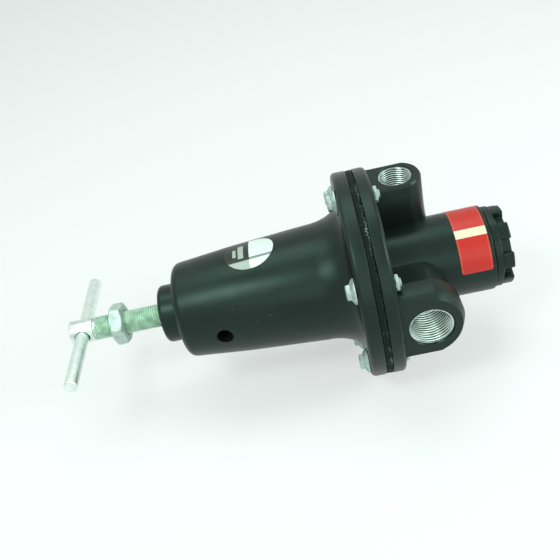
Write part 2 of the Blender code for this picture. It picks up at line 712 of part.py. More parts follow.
def make_flange_screws(steel):
    """The washer-head screws through both flanges, and their nuts."""
    washer_right = BONNET_FLANGE_BACK - GAP
    washer_left = washer_right - SCREW_WASHER_THICKNESS
    outline = [
        (NUT_RIGHT, 0.0),
        (NUT_RIGHT, SCREW_RADIUS),
        (washer_right, SCREW_RADIUS),
        (washer_right, SCREW_WASHER_RADIUS),
        (washer_left, SCREW_WASHER_RADIUS - 0.5 * SCREW_WASHER_THICKNESS),
        (washer_left, 0.0),
    ]
    pattern = turned("screw_pattern", outline, washer_left, steps=TINY_STEPS)
    sunk = 0.5 * SCREW_WASHER_THICKNESS
    head = prism("head_pattern", 6, hexagon_radius(SCREW_HEX_WIDTH), SCREW_HEX_HEIGHT + sunk)
    head_middle = washer_left + sunk - 0.5 * (SCREW_HEX_HEIGHT + sunk)
    aim(head, AXIS, AXIS * head_middle)
    combine(pattern, head, "UNION")
    nut_pattern = prism("nut_pattern", 6, hexagon_radius(NUT_HEX_WIDTH), NUT_THICKNESS)
    nut_bore = prism("nut_bore", TINY_STEPS, SCREW_RADIUS + GAP, 2.0 * NUT_THICKNESS)
    combine(nut_pattern, nut_bore, "DIFFERENCE")
    screw_mesh = finished_mesh(pattern)
    nut_mesh = finished_mesh(nut_pattern)
    screw_mesh.materials.append(steel)
    nut_mesh.materials.append(steel)
    nut_middle = NUT_RIGHT - 0.5 * NUT_THICKNESS
    for index, angle in enumerate(screw_angles(), start=1):
        screw = bpy.data.objects.new(f"flange_screw_{index}", screw_mesh)
        PARTS.objects.link(screw)
        screw.location = place_at(angle, SCREW_CIRCLE_RADIUS, washer_left)
        screw.rotation_euler = (0.0, math.radians(90.0), 0.0)
        nut = bpy.data.objects.new(f"flange_nut_{index}", nut_mesh)
        PARTS.objects.link(nut)
        nut.location = place_at(angle, SCREW_CIRCLE_RADIUS, nut_middle)
        nut.rotation_euler = (0.0, math.radians(90.0), 0.0)


def make_diaphragm_stack(steel, brass):
    """The spring plate, the relief stud with the pressure plate, and the clamping nut."""
    bore = STUD_RADIUS + GAP
    back = PLATE_FACE - PLATE_THICKNESS
    spigot_end = back - SPIGOT_HEIGHT
    rim_end = back - PLATE_RIM_HEIGHT
    turned(
        "diaphragm_plate",
        [
            (PLATE_FACE, PLATE_RADIUS),
            (rim_end, PLATE_RADIUS),
            (rim_end, PLATE_RADIUS - PLATE_THICKNESS),
            (back, PLATE_RADIUS - PLATE_THICKNESS),
            (back, SPIGOT_RADIUS),
            (spigot_end, SPIGOT_RADIUS - SPIGOT_DRAFT),
            (spigot_end, bore),
            (PLATE_FACE, bore),
        ],
        PLATE_FACE,
        steel,
        INNER_STEPS,
        closed=True,
    )
    nut_right = spigot_end - GAP
    nut_left = nut_right - STACK_NUT_THICKNESS
    stud_end = nut_left - STUD_PROUD
    plate_right = RELIEF_PLATE_LEFT + RELIEF_PLATE_THICKNESS
    turned(
        "relief_stud",
        [
            (RELIEF_NOSE, RELIEF_BORE_RADIUS),
            (RELIEF_NOSE, NOSE_SHARE * STUD_RADIUS),
            (plate_right, STUD_RADIUS + RELIEF_PLATE_THICKNESS),
            (plate_right, RELIEF_PLATE_RADIUS),
            (RELIEF_PLATE_LEFT, RELIEF_PLATE_RADIUS),
            (RELIEF_PLATE_LEFT, STUD_RADIUS),
            (stud_end, STUD_RADIUS),
            (stud_end, RELIEF_BORE_RADIUS),
        ],
        RELIEF_PLATE_LEFT,
        brass,
        INNER_STEPS,
        closed=True,
    )
    nut = prism("diaphragm_nut", 6, hexagon_radius(STACK_NUT_WIDTH), STACK_NUT_THICKNESS, steel)
    aim(nut, AXIS, AXIS * (0.5 * (nut_left + nut_right)))
    nut_bore = prism("stack_nut_bore", SMALL_STEPS, bore, 2.0 * STACK_NUT_THICKNESS)
    aim(nut_bore, AXIS, nut.location)
    combine(nut, nut_bore, "DIFFERENCE")


def coil(name, radius, wire, start, end, turns, steps, material):
    """A compression spring along X whose first and last turns lie closed."""
    count = turns * steps
    closed_rise = 2.0 * wire * CLOSED_TURN_RISE
    points = []
    for index in range(count + 1):
        turn = index / steps
        if turn < 1.0:
            rise = closed_rise * turn
        elif turn > turns - 1.0:
            rise = end - start - closed_rise * (turns - turn)
        else:
            share = (turn - 1.0) / (turns - 2.0)
            rise = closed_rise + (end - start - 2.0 * closed_rise) * share
        angle = math.tau * turn
        points.append((start + rise, radius * math.sin(angle), radius * math.cos(angle)))
    curve = bpy.data.curves.new(name, "CURVE")
    curve.dimensions = "3D"
    spline = curve.splines.new("POLY")
    spline.points.add(len(points) - 1)
    for knot, place in zip(spline.points, points):
        knot.co = (*place, 1.0)
    curve.bevel_depth = wire
    curve.bevel_resolution = COIL_BEVEL_STEPS
    curve.use_fill_caps = True
    return add_object(name, curve, material)


def make_adjusting_group(steel, dark_steel):
    """The adjusting screw, T-bar, lock nut, thrust ball, spring rest and range spring."""
    dimple = BALL_RADIUS + GAP
    mouth = math.degrees(math.acos(BALL_PROUD / dimple))
    head_middle = HEAD_FACE - 0.5 * SCREW_HEAD_LENGTH
    outline = arc(BALL_STATION, 0.0, dimple, dimple, 180, 180 - mouth, LONG_ARC_STEPS)
    outline += [
        (SCREW_TIP, THREAD_RADIUS - TIP_CHAMFER),
        (SCREW_TIP - TIP_CHAMFER, THREAD_RADIUS),
        (HEAD_FACE + SCREW_GROOVE_WIDTH, THREAD_RADIUS),
        (HEAD_FACE + SCREW_GROOVE_WIDTH, SCREW_GROOVE_RADIUS),
        (HEAD_FACE, SCREW_GROOVE_RADIUS),
        (HEAD_FACE, SCREW_HEAD_RADIUS - HEAD_CHAMFER),
        (HEAD_FACE - HEAD_CHAMFER, SCREW_HEAD_RADIUS),
        (HEAD_END + HEAD_CHAMFER, SCREW_HEAD_RADIUS),
        (HEAD_END, SCREW_HEAD_RADIUS - HEAD_CHAMFER),
        (HEAD_END, 0.0),
    ]
    screw = turned("adjusting_screw", outline, HEAD_FACE, steel, INNER_STEPS)
    bore = TEE_RADIUS + GAP
    reach = SCREW_HEAD_RADIUS + DRILL_OVERRUN
    deep = SCREW_HEAD_RADIUS - TEE_HOLE_CHAMFER
    wide = bore + TEE_HOLE_CHAMFER + DRILL_OVERRUN
    cross = [
        (reach, 0.0),
        (reach, wide),
        (deep, bore),
        (-deep, bore),
        (-reach, wide),
        (-reach, 0.0),
    ]
    drill = turned("cross_drill", cross, steps=SMALL_STEPS)
    aim(drill, direction(TEE_ANGLE), AXIS * head_middle)
    combine(screw, drill, "DIFFERENCE")

    half = 0.5 * TEE_LENGTH
    bar_outline = [
        (half, 0.0),
        (half, TEE_RADIUS - TEE_CHAMFER),
        (half - TEE_CHAMFER, TEE_RADIUS),
        (TEE_CHAMFER - half, TEE_RADIUS),
        (-half, TEE_RADIUS - TEE_CHAMFER),
        (-half, 0.0),
    ]
    bar = turned("tee_bar", bar_outline, 0.0, steel, SMALL_STEPS)
    aim(bar, direction(TEE_ANGLE), AXIS * head_middle)

    nut_middle = NECK_END - LOCK_NUT_FROM_NECK - 0.5 * LOCK_NUT_THICKNESS
    corner = hexagon_radius(LOCK_NUT_WIDTH)
    nut = prism("lock_nut", 6, corner, LOCK_NUT_THICKNESS, steel)
    nut.rotation_euler = (math.radians(LOCK_NUT_ROLL), math.radians(90.0), 0.0)
    nut.location = AXIS * nut_middle
    half_nut = 0.5 * LOCK_NUT_THICKNESS
    slope = math.tan(math.radians(30.0))
    flat = 0.5 * LOCK_NUT_WIDTH - LOCK_NUT_FACE_STEP
    drop = (corner + DRILL_OVERRUN - flat) * slope
    double_cone = turned(
        "nut_chamfer",
        [
            (half_nut, 0.0),
            (half_nut, flat),
            (half_nut - drop, corner + DRILL_OVERRUN),
            (drop - half_nut, corner + DRILL_OVERRUN),
            (-half_nut, flat),
            (-half_nut, 0.0),
        ],
        steps=INNER_STEPS,
    )
    double_cone.location = nut.location
    combine(nut, double_cone, "INTERSECT")
    thread = prism("nut_thread_bore", INNER_STEPS, THREAD_RADIUS + GAP, 2.0 * LOCK_NUT_THICKNESS)
    aim(thread, AXIS, nut.location)
    combine(nut, thread, "DIFFERENCE")

    ball_mesh = bpy.data.meshes.new("thrust_ball")
    form = bmesh.new()
    bmesh.ops.create_uvsphere(form, u_segments=TINY_STEPS, v_segments=BALL_STEPS, radius=BALL_RADIUS)
    form.to_mesh(ball_mesh)
    form.free()
    ball = add_object("thrust_ball", ball_mesh, dark_steel)
    ball.location = AXIS * BALL_STATION

    rest_back = REST_FACE + REST_THICKNESS
    rest_outline = [
        (rest_back + SPIGOT_HEIGHT, 0.0),
        (rest_back + SPIGOT_HEIGHT, SPIGOT_RADIUS - SPIGOT_DRAFT),
        (rest_back, SPIGOT_RADIUS),
        (rest_back, REST_RADIUS - HEAD_CHAMFER),
        (rest_back - HEAD_CHAMFER, REST_RADIUS),
        (REST_FACE + HEAD_CHAMFER, REST_RADIUS),
        (REST_FACE, REST_RADIUS - HEAD_CHAMFER),
    ]
    rest_outline += arc(BALL_STATION, 0.0, dimple, dimple, mouth, 0, LONG_ARC_STEPS)
    turned("spring_rest", rest_outline, REST_FACE, dark_steel, INNER_STEPS)

    seat = RANGE_WIRE_RADIUS + GAP
    coil(
        "range_spring",
        RANGE_SPRING_RADIUS,
        RANGE_WIRE_RADIUS,
        rest_back + seat,
        PLATE_FACE - PLATE_THICKNESS - seat,
        RANGE_SPRING_TURNS,
        RANGE_COIL_STEPS,
        dark_steel,
    )


def make_valve(brass, steel, rubber):
    """The seat with its seal, the pin, the poppet with its rubber facing, and its spring."""
    collar_left = WEB_RIGHT + GAP
    collar_right = collar_left + SEAT_COLLAR_THICKNESS
    groove_middle = 0.5 * (WEB_LEFT + WEB_RIGHT)
    groove_radius = SEAT_RADIUS - 2.0 * SEAT_O_RING_RADIUS
    half_groove = 0.5 * SEAT_GROOVE_WIDTH
    turned(
        "valve_seat",
        [
            (SEAT_RIGHT, SEAT_BORE_RADIUS),
            (SEAT_RIGHT, SEAT_BORE_RADIUS + SEAT_LIP),
            (collar_right, SEAT_BORE_RADIUS + 2.0 * SEAT_LIP),
            (collar_right, SEAT_COLLAR_RADIUS),
            (collar_left, SEAT_COLLAR_RADIUS),
            (collar_left, SEAT_RADIUS),
            (groove_middle + half_groove, SEAT_RADIUS),
            (groove_middle + half_groove, groove_radius),
            (groove_middle - half_groove, groove_radius),
            (groove_middle - half_groove, SEAT_RADIUS),
            (WEB_LEFT, SEAT_RADIUS),
            (WEB_LEFT, SEAT_BORE_RADIUS),
        ],
        SEAT_RIGHT,
        brass,
        INNER_STEPS,
        closed=True,
    )
    ring(
        "seat_o_ring",
        groove_middle,
        groove_radius + SEAT_O_RING_RADIUS + O_RING_CLEARANCE,
        SEAT_O_RING_RADIUS - O_RING_CLEARANCE,
        rubber,
        INNER_STEPS,
    )
    pin_left = RELIEF_NOSE + GAP
    pin_right = POPPET_LEFT + PIN_SUNK
    pin_bore = PIN_RADIUS + GAP
    turned(
        "valve_pin",
        [
            (pin_right, 0.0),
            (pin_right, PIN_RADIUS),
            (pin_left + PIN_RADIUS, PIN_RADIUS),
            (pin_left, PIN_NOSE_RADIUS),
            (pin_left, 0.0),
        ],
        pin_left,
        steel,
        TINY_STEPS,
    )
    facing_right = FACING_LEFT + FACING_THICKNESS
    turned(
        "poppet_disc",
        [
            (facing_right, FACING_RADIUS),
            (FACING_LEFT, FACING_RADIUS),
            (FACING_LEFT, pin_bore),
            (facing_right, pin_bore),
        ],
        FACING_LEFT,
        rubber,
        INNER_STEPS,
        closed=True,
    )
    turned(
        "valve_poppet",
        [
            (STEM_END, 0.0),
            (STEM_END, STEM_RADIUS),
            (POPPET_RIGHT, STEM_RADIUS),
            (POPPET_RIGHT, POPPET_RADIUS),
            (POPPET_LEFT, POPPET_RADIUS),
            (POPPET_LEFT, pin_bore),
            (pin_right + GAP, pin_bore),
            (pin_right + GAP, 0.0),
        ],
        POPPET_LEFT,
        brass,
        INNER_STEPS,
    )
    seat = VALVE_WIRE_RADIUS + GAP
    coil(
        "valve_spring",
        VALVE_SPRING_RADIUS,
        VALVE_WIRE_RADIUS,
        POPPET_RIGHT + seat,
        SKIRT_END + SPRING_POCKET_DEPTH - seat,
        VALVE_SPRING_TURNS,
        VALVE_COIL_STEPS,
        steel,
    )


def shade_parts():
    """Shades the faces smooth, with sharp edges where two faces meet at a clear angle."""
    for thing in PARTS.objects:
        if thing.type == "MESH" and not any(step.type == "SCREW" for step in thing.modifiers):
            thing.data.shade_smooth()
            thing.data.set_sharp_from_angle(angle=math.radians(SHARP_ANGLE))


def main():
    """Makes the materials and every piece."""
    enamel = make_material("black_enamel", (0.016, 0.022, 0.020), 0.35, 0.0)
    zinc = make_material("zinc_plated_steel", (0.70, 0.78, 0.74), 0.28, 1.0)
    spring_steel = make_material("spring_steel", (0.22, 0.23, 0.24), 0.35, 1.0)
    brass = make_material("brass", (0.66, 0.50, 0.22), 0.35, 1.0)
    rubber = make_material("nitrile_rubber", (0.012, 0.012, 0.012), 0.75, 0.0)
    fibre = make_material("gasket_fibre", (0.055, 0.062, 0.058), 0.85, 0.0)
    make_bonnet(enamel)
    make_body(enamel)
    make_bottom_plug(enamel, rubber)
    make_gauge_plug(zinc)
    make_flange_stack(rubber, fibre)
    make_flange_screws(zinc)
    make_diaphragm_stack(zinc, brass)
    make_adjusting_group(zinc, spring_steel)
    make_valve(brass, spring_steel, rubber)
    shade_parts()


main()
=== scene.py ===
"""The looks of a T-handle air regulator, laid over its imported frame.

The regulator lies with its axis along X: the T-handle at -X, the castellated plug
at +X, the small ports up and down (Z) and the large ports front and back (Y). A
station is a place along X. Shapes are worked out in millimetres on grids of two
parameters and become metres when they are put into a mesh. An angle round the axis
is in degrees from +Z towards -Y, as in the source of the frame.
"""

from __future__ import annotations

import logging
import math
from dataclasses import dataclass
from enum import Enum

import bmesh
import bpy
import numpy as np
from mathutils import Matrix, Vector

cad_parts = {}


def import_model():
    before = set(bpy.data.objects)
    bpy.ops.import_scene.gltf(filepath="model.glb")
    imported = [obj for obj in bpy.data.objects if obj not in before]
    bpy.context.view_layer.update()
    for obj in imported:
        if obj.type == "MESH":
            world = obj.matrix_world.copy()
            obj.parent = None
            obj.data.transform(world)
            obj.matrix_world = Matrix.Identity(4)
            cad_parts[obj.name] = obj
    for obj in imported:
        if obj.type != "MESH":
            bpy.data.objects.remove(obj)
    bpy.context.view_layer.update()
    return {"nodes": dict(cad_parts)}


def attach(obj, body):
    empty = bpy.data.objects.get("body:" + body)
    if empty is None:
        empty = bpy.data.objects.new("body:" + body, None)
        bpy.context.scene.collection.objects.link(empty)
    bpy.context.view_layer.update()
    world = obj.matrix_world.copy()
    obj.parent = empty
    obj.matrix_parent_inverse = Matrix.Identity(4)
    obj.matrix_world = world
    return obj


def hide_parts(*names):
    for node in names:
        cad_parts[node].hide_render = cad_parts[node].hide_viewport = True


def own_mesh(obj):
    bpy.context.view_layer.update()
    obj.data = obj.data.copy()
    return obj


LOG = logging.getLogger("regulator")
MM = 0.001
MERGE_MM = 0.002
SHARP_ANGLE = 34.0
PHOTO_PIXELS = 560.0
SENSOR_MM = 36.0
NOISE_BAND = (0.3, 0.7)
TEE_ANGLE = 86.0
PRINT_MAP = "print"
X_AXIS = (1.0, 0.0, 0.0)
Corner = tuple[float, float, float]
Colour = tuple[float, float, float, float]
Inputs = dict[int | str, object]
Pair = tuple[float, float]
Socket = bpy.types.NodeSocket


# Colours and nodes


def linear(hex_colour: str) -> Colour:
    """Turns an sRGB hex colour into the linear colour that a socket takes.

    Args:
        hex_colour: Six hex digits, with or without a leading hash.

    Returns:
        Red, green, blue and an alpha of one, all linear.
    """
    digits = hex_colour.lstrip("#")
    parts = np.array([int(digits[i : i + 2], 16) for i in (0, 2, 4)]) / 255.0
    low = parts / 12.92
    high = ((parts + 0.055) / 1.055) ** 2.4
    red, green, blue = np.where(parts <= 0.04045, low, high)
    return (float(red), float(green), float(blue), 1.0)


class Nodes:
    """A node tree that starts empty, and the kinds of node that go into it."""

    def __init__(self, tree: bpy.types.NodeTree) -> None:
        """Empties the tree and keeps it."""
        tree.nodes.clear()
        self.tree = tree

    def add(self, kind: str, inputs: Inputs | None = None, **settings: object) -> bpy.types.Node:
        """Adds a node with its settings and its links.

        Args:
            kind: The node's type name, less the word ShaderNode that starts it.
            inputs: What each socket, by name or number, is linked to or set to.
            **settings: The node's own properties.

        Returns:
            The new node.
        """
        node = self.tree.nodes.new(f"ShaderNode{kind}")
        for name, value in settings.items():
            setattr(node, name, value)
        for socket, value in (inputs or {}).items():
            if isinstance(value, Socket):
                self.tree.links.new(value, node.inputs[socket])
            else:
                node.inputs[socket].default_value = value
        return node

    def noise(self, place: Socket, size: float, detail: float, roughness: float = 0.5) -> Socket:
        """Gives a noise, one cell of which spans a size in millimetres."""
        inputs = {"Vector": place, "Scale": 1.0 / (size * MM), "Detail": detail, "Roughness": roughness}
        return self.add("TexNoise", inputs).outputs["Fac"]

    def ramp(self, value: Socket, start: Pair, end: Pair = (0.0, 1.0)) -> Socket:
        """Maps the range between two values onto the range between two others."""
        inputs = {"Value": value, "From Min": start[0], "From Max": start[1], "To Min": end[0], "To Max": end[1]}
        return self.add("MapRange", inputs).outputs["Result"]

    def mix(self, share: Socket | float, first: Socket | Colour, second: Socket | Colour) -> Socket:
        """Mixes two colours, the second one by its share."""
        return self.add("Mix", {0: share, 6: first, 7: second}, data_type="RGBA").outputs[2]

    def maths(self, operation: str, *values: Socket | float) -> Socket:
        """Works out one step of arithmetic."""
        return self.add("Math", dict(enumerate(values)), operation=operation).outputs[0]

    def within(self, value: Socket, low: float, high: float) -> Socket:
        """Gives one where a value lies between two limits, and zero elsewhere."""
        return self.maths("COMPARE", value, 0.5 * (low + high), 0.5 * (high - low))

    def bump(self, height: Socket, strength: float, depth: float) -> Socket:
        """Turns a height into a normal, with the depth in millimetres."""
        return self.add("Bump", {"Height": height, "Strength": strength, "Distance": depth * MM}).outputs["Normal"]

    def surface(self, inputs: Inputs) -> Socket:
        """Gives the shader of a surface, set by the names of its sockets."""
        return self.add("BsdfPrincipled", inputs).outputs["BSDF"]

    def seen(self) -> Socket:
        """Gives one for camera, glossy and transmission rays, and zero for all others."""
        rays = self.add("LightPath").outputs
        either = self.maths("MAXIMUM", rays["Is Camera Ray"], rays["Is Glossy Ray"])
        return self.maths("MAXIMUM", either, rays["Is Transmission Ray"])


# Shapes as arrays


@dataclass(frozen=True)
class Axes:
    """A place and three directions at right angles, in which a shape is laid out."""

    origin: Corner = (0.0, 0.0, 0.0)
    along: Corner = X_AXIS
    first: Corner = (0.0, 0.0, 1.0)
    second: Corner = (0.0, -1.0, 0.0)

    def place(self, along: np.ndarray, first: np.ndarray, second: np.ndarray) -> np.ndarray:
        """Turns three lengths into points: the origin plus each length times its direction.

        Args:
            along: Lengths along the axis.
            first: Lengths along the first direction across it.
            second: Lengths along the second direction across it.

        Returns:
            An array of points, with the shape of the lengths and a last side of three.
        """
        along, first, second = np.broadcast_arrays(along, first, second)
        return (
            np.array(self.origin)
            + along[..., None] * np.array(self.along)
            + first[..., None] * np.array(self.first)
            + second[..., None] * np.array(self.second)
        )


def outward(angle: float) -> Corner:
    """Gives the unit vector across the main axis at an angle from +Z towards -Y."""
    turn = math.radians(angle)
    return (0.0, -math.sin(turn), math.cos(turn))


def port_axes(angle: float, back: float = 0.0, station: float = 0.0) -> Axes:
    """Axes of a hole across the body: along it outwards, then along X, then round the body.

    Args:
        angle: The hole's angle round the main axis, in degrees.
        back: How far behind the main axis (+Y) the hole's own axis lies.
        station: The hole's station.

    Returns:
        Axes whose first direction is +X.
    """
    way = outward(angle)
    side = tuple(float(value) for value in np.cross(way, X_AXIS))
    return Axes((station, back, 0.0), way, X_AXIS, side)


@dataclass
class Surface:
    """A grid of points in millimetres, rows by columns, that becomes faces."""

    points: np.ndarray
    rows_close: bool = False
    columns_close: bool = True
    start_cap: bool = False
    end_cap: bool = False
    finish: int | np.ndarray = 0
    flat_map: np.ndarray | None = None


def filleted(corners: list[Corner], steps: int = 6, closed: bool = False) -> np.ndarray:
    """Rounds the corners of a path of straight lines.

    At each corner the arc touches both lines: it starts and ends at radius times the
    tangent of half the turn from the corner, and its points are spherical blends of
    the two spokes from its centre.

    Args:
        corners: Two coordinates and a radius for each corner.
        steps: Straight pieces in each arc.
        closed: Whether the last corner joins the first.

    Returns:
        The path's points, one row of two for each.
    """
    places = np.array([corner[:2] for corner in corners], float)
    path = []
    count = len(places)
    for index, (_, _, radius) in enumerate(corners):
        place = places[index]
        inner = closed or 0 < index < count - 1
        if radius <= 0.0 or not inner:
            path.append(place[None])
            continue
        before = place - places[index - 1]
        after = places[(index + 1) % count] - place
        before, after = before / np.linalg.norm(before), after / np.linalg.norm(after)
        turn = math.acos(float(np.clip(before @ after, -1.0, 1.0)))
        reach = radius * math.tan(0.5 * turn)
        start, end = place - before * reach, place + after * reach
        inwards = after - before
        centre = place + inwards / np.linalg.norm(inwards) * (radius / math.cos(0.5 * turn))
        share = np.linspace(0.0, 1.0, steps + 1)[:, None]
        spokes = np.sin((1.0 - share) * turn) * (start - centre) + np.sin(share * turn) * (end - centre)
        path.append(centre + spokes / math.sin(turn))
    return np.concatenate(path)


def quarter(centre: Pair, reach: Pair, start: float, end: float, steps: int) -> np.ndarray:
    """Points of an elliptical arc: the centre plus the reaches times cosine and sine.

    Args:
        centre: Station and radius of the ellipse's middle.
        reach: Half widths along the station and along the radius.
        start: First angle in degrees, 0 towards +X and 90 away from the axis.
        end: Last angle in degrees.
        steps: Straight pieces in the arc.

    Returns:
        One row of station and radius for each point.
    """
    turn = np.radians(np.linspace(start, end, steps + 1))
    return np.column_stack((centre[0] + reach[0] * np.cos(turn), centre[1] + reach[1] * np.sin(turn)))


def evenly(ring: np.ndarray, steps: int) -> np.ndarray:
    """Puts new points on a closed ring at equal distances along it.

    Args:
        ring: The ring's points.
        steps: How many points it gets.

    Returns:
        The new points, the first one where the ring started.
    """
    closed = np.vstack((ring, ring[:1]))
    run = np.concatenate(([0.0], np.cumsum(np.hypot(*np.diff(closed, axis=0).T))))
    wanted = np.linspace(0.0, run[-1], steps + 1)[:-1]
    return np.column_stack((np.interp(wanted, run, closed[:, 0]), np.interp(wanted, run, closed[:, 1])))


def around(steps: int, seam: bool = False) -> np.ndarray:
    """Angles of a full turn in radians, with the first one again at the end for a seam."""
    return np.linspace(0.0, math.tau, steps + 1)[: steps + 1 if seam else steps]


def rings(axes: Axes, turn: np.ndarray, rows: list | np.ndarray) -> np.ndarray:
    """Stacks rings round an axis.

    Each point keeps its station, and its radius is shared by the cosine and the sine
    of its angle between the two directions across.

    Args:
        axes: Where the axis lies.
        turn: The angles of each ring's points, in radians.
        rows: Station and radius of each ring, each one number or one for every angle.

    Returns:
        A grid of points, one row for each ring.
    """
    across, upwards = np.cos(turn), np.sin(turn)
    return np.stack(
        [axes.place(np.full_like(turn, station), radius * across, radius * upwards) for station, radius in rows]
    )


def turned(path: list | np.ndarray, axes: Axes = Axes(), steps: int = 192) -> np.ndarray:
    """Carries a profile of stations and radii round an axis."""
    return rings(axes, around(steps), path)


def helix(
    start: float, end: float, radius: float, depth: float, pitch: float, axes: Axes, steps: int
) -> tuple[np.ndarray, np.ndarray]:
    """A thread: a cylinder whose radius rises and falls with a ridge that climbs.

    The station is the row's own station plus the pitch times the share of a turn, kept
    between the two ends, so that the crest lies along a row. The radius is the given one
    less the depth times a truncated triangle wave of the row's phase.

    Args:
        start: First station of the thread.
        end: Last station of the thread.
        radius: Crest radius, or root radius of a thread inside a hole.
        depth: Height of the ridges, towards the axis.
        pitch: Distance from ridge to ridge.
        axes: Where the axis lies.
        steps: Straight pieces in a full turn.

    Returns:
        A grid of points whose first column is repeated at its end, and for each of its
        faces how near it lies to the given radius, from nothing to one.
    """
    rows_per_turn = 8
    count = int(math.ceil((end - start) / pitch) + 1) * rows_per_turn
    row = np.arange(count + 1)[:, None]
    turn = around(steps, seam=True)[None]
    station = start - pitch + pitch * row / rows_per_turn + pitch * turn / math.tau
    wave = np.abs((row / rows_per_turn) % 1.0 - 0.5) * 2.0
    ridge = np.clip(1.35 * wave - 0.175, 0.0, 1.0)
    size = np.broadcast_to(radius - depth * (1.0 - ridge), station.shape)
    outer = np.repeat(0.5 * (ridge[1:] + ridge[:-1]), steps, axis=1).ravel()
    return axes.place(np.clip(station, start, end), size * np.cos(turn), size * np.sin(turn)), outer


def hexagon(width: float, turn: np.ndarray, roll: float = 0.0) -> np.ndarray:
    """Distance from the middle to the edge of a hexagon, at each angle.

    It is half the width across the flats over the cosine of the angle from the
    nearest flat's middle.

    Args:
        width: Size across the flats.
        turn: Angles in radians.
        roll: Angle of the first flat's middle, in radians.

    Returns:
        The distances.
    """
    sixth = math.tau / 6.0
    from_middle = (turn - roll + 0.5 * sixth) % sixth - 0.5 * sixth
    return 0.5 * width / np.cos(from_middle)


def grid_faces(surface: Surface, base: int) -> tuple[np.ndarray, np.ndarray, np.ndarray]:
    """Numbers the corners of a grid's faces.

    Args:
        surface: The grid.
        base: Number of its first vertex.

    Returns:
        Its vertices, its four-sided faces and its three-sided ones.
    """
    rows, columns = surface.points.shape[:2]
    points = surface.points.reshape(-1, 3)
    index = np.arange(rows * columns).reshape(rows, columns) + base
    if surface.rows_close:
        index = np.vstack((index, index[:1]))
    if surface.columns_close:
        index = np.hstack((index, index[:, :1]))
    quads = np.stack((index[:-1, :-1], index[:-1, 1:], index[1:, 1:], index[1:, :-1]), -1)
    fans = []
    for capped, row in ((surface.start_cap, 0), (surface.end_cap, -1)):
        if capped:
            pole = base + len(points)
            points = np.vstack((points, surface.points[row].mean(0)))
            rim = index[row]
            fans.append(np.column_stack((np.full(len(rim) - 1, pole), rim[1:], rim[:-1])))
    triangles = np.concatenate(fans) if fans else np.zeros((0, 3), int)
    return points, quads.reshape(-1, 4), triangles


def make_mesh(name: str, surfaces: list[Surface], outwards: bool = True) -> bpy.types.Mesh:
    """Puts grids into one mesh, joins what touches and turns the faces outwards.

    Args:
        name: The mesh's name.
        surfaces: The grids.
        outwards: Whether the faces are turned outwards, for a closed shape.

    Returns:
        The mesh, in metres.
    """
    vertices, quads, triangles, quad_finish, fan_finish, flat_map = [], [], [], [], [], []
    base = 0
    for surface in surfaces:
        points, four, three = grid_faces(surface, base)
        vertices.append(points)
        quads.append(four)
        triangles.append(three)
        quad_finish.append(np.full(len(four), surface.finish))
        fan_finish.append(np.full(len(three), np.max(surface.finish)))
        places = np.zeros((len(points), 2))
        if surface.flat_map is not None:
            flat = surface.flat_map.reshape(-1, 2)
            places[: len(flat)] = flat
        flat_map.append(places)
        base += len(points)
    vertices, flat_map = np.concatenate(vertices), np.concatenate(flat_map)
    quads, triangles = np.concatenate(quads), np.concatenate(triangles)
    corners = np.concatenate((quads.ravel(), triangles.ravel()))
    sizes = np.concatenate((np.full(len(quads), 4), np.full(len(triangles), 3)))
    mesh = bpy.data.meshes.new(name)
    mesh.vertices.add(len(vertices))
    mesh.vertices.foreach_set("co", (vertices * MM).astype(np.float32).ravel())
    mesh.loops.add(len(corners))
    mesh.loops.foreach_set("vertex_index", corners.astype(np.int32))
    mesh.polygons.add(len(sizes))
    mesh.polygons.foreach_set("loop_start", (np.cumsum(sizes) - sizes).astype(np.int32))
    finishes = np.concatenate(quad_finish + fan_finish)
    mesh.polygons.foreach_set("material_index", finishes.astype(np.int32))
    mesh.update(calc_edges=True)
    if any(surface.flat_map is not None for surface in surfaces):
        layer = mesh.uv_layers.new(name=PRINT_MAP)
        layer.data.foreach_set("uv", flat_map[corners].astype(np.float32).ravel())
    tidy(mesh, outwards)
    return mesh


def tidy(mesh: bpy.types.Mesh, outwards: bool = True) -> None:
    """Joins doubled vertices, drops faces of no size and shades the mesh smooth.

    Args:
        mesh: The mesh that is changed.
        outwards: Whether the faces are turned outwards.
    """
    form = bmesh.new()
    form.from_mesh(mesh)
    bmesh.ops.remove_doubles(form, verts=form.verts, dist=MERGE_MM * MM)
    bmesh.ops.dissolve_degenerate(form, edges=form.edges, dist=MERGE_MM * MM)
    if outwards:
        bmesh.ops.recalc_face_normals(form, faces=form.faces)
    form.to_mesh(mesh)
    form.free()
    mesh.shade_smooth()
    mesh.set_sharp_from_angle(angle=math.radians(SHARP_ANGLE))


def link_object(name: str, data: bpy.types.ID | None) -> bpy.types.Object:
    """Makes an object of its data and links it to the scene."""
    thing = bpy.data.objects.new(name, data)
    bpy.context.scene.collection.objects.link(thing)
    return thing


def drill(thing: bpy.types.Object, hole: Surface) -> None:
    """Cuts a closed form out of an object for good.

    Args:
        thing: The object that is cut.
        hole: What is taken out of it.
    """
    tool = link_object("drill", make_mesh("drill", [hole]))
    step = thing.modifiers.new("drilled", "BOOLEAN")
    step.operation = "DIFFERENCE"
    step.solver = "EXACT"
    step.object = tool
    graph = bpy.context.evaluated_depsgraph_get()
    mesh = bpy.data.meshes.new_from_object(thing.evaluated_get(graph))
    thing.modifiers.clear()
    old, thing.data = thing.data, mesh
    mesh.name = thing.name
    bpy.data.objects.remove(tool, do_unlink=True)
    bpy.data.meshes.remove(old)
    tidy(mesh)


# Finishes


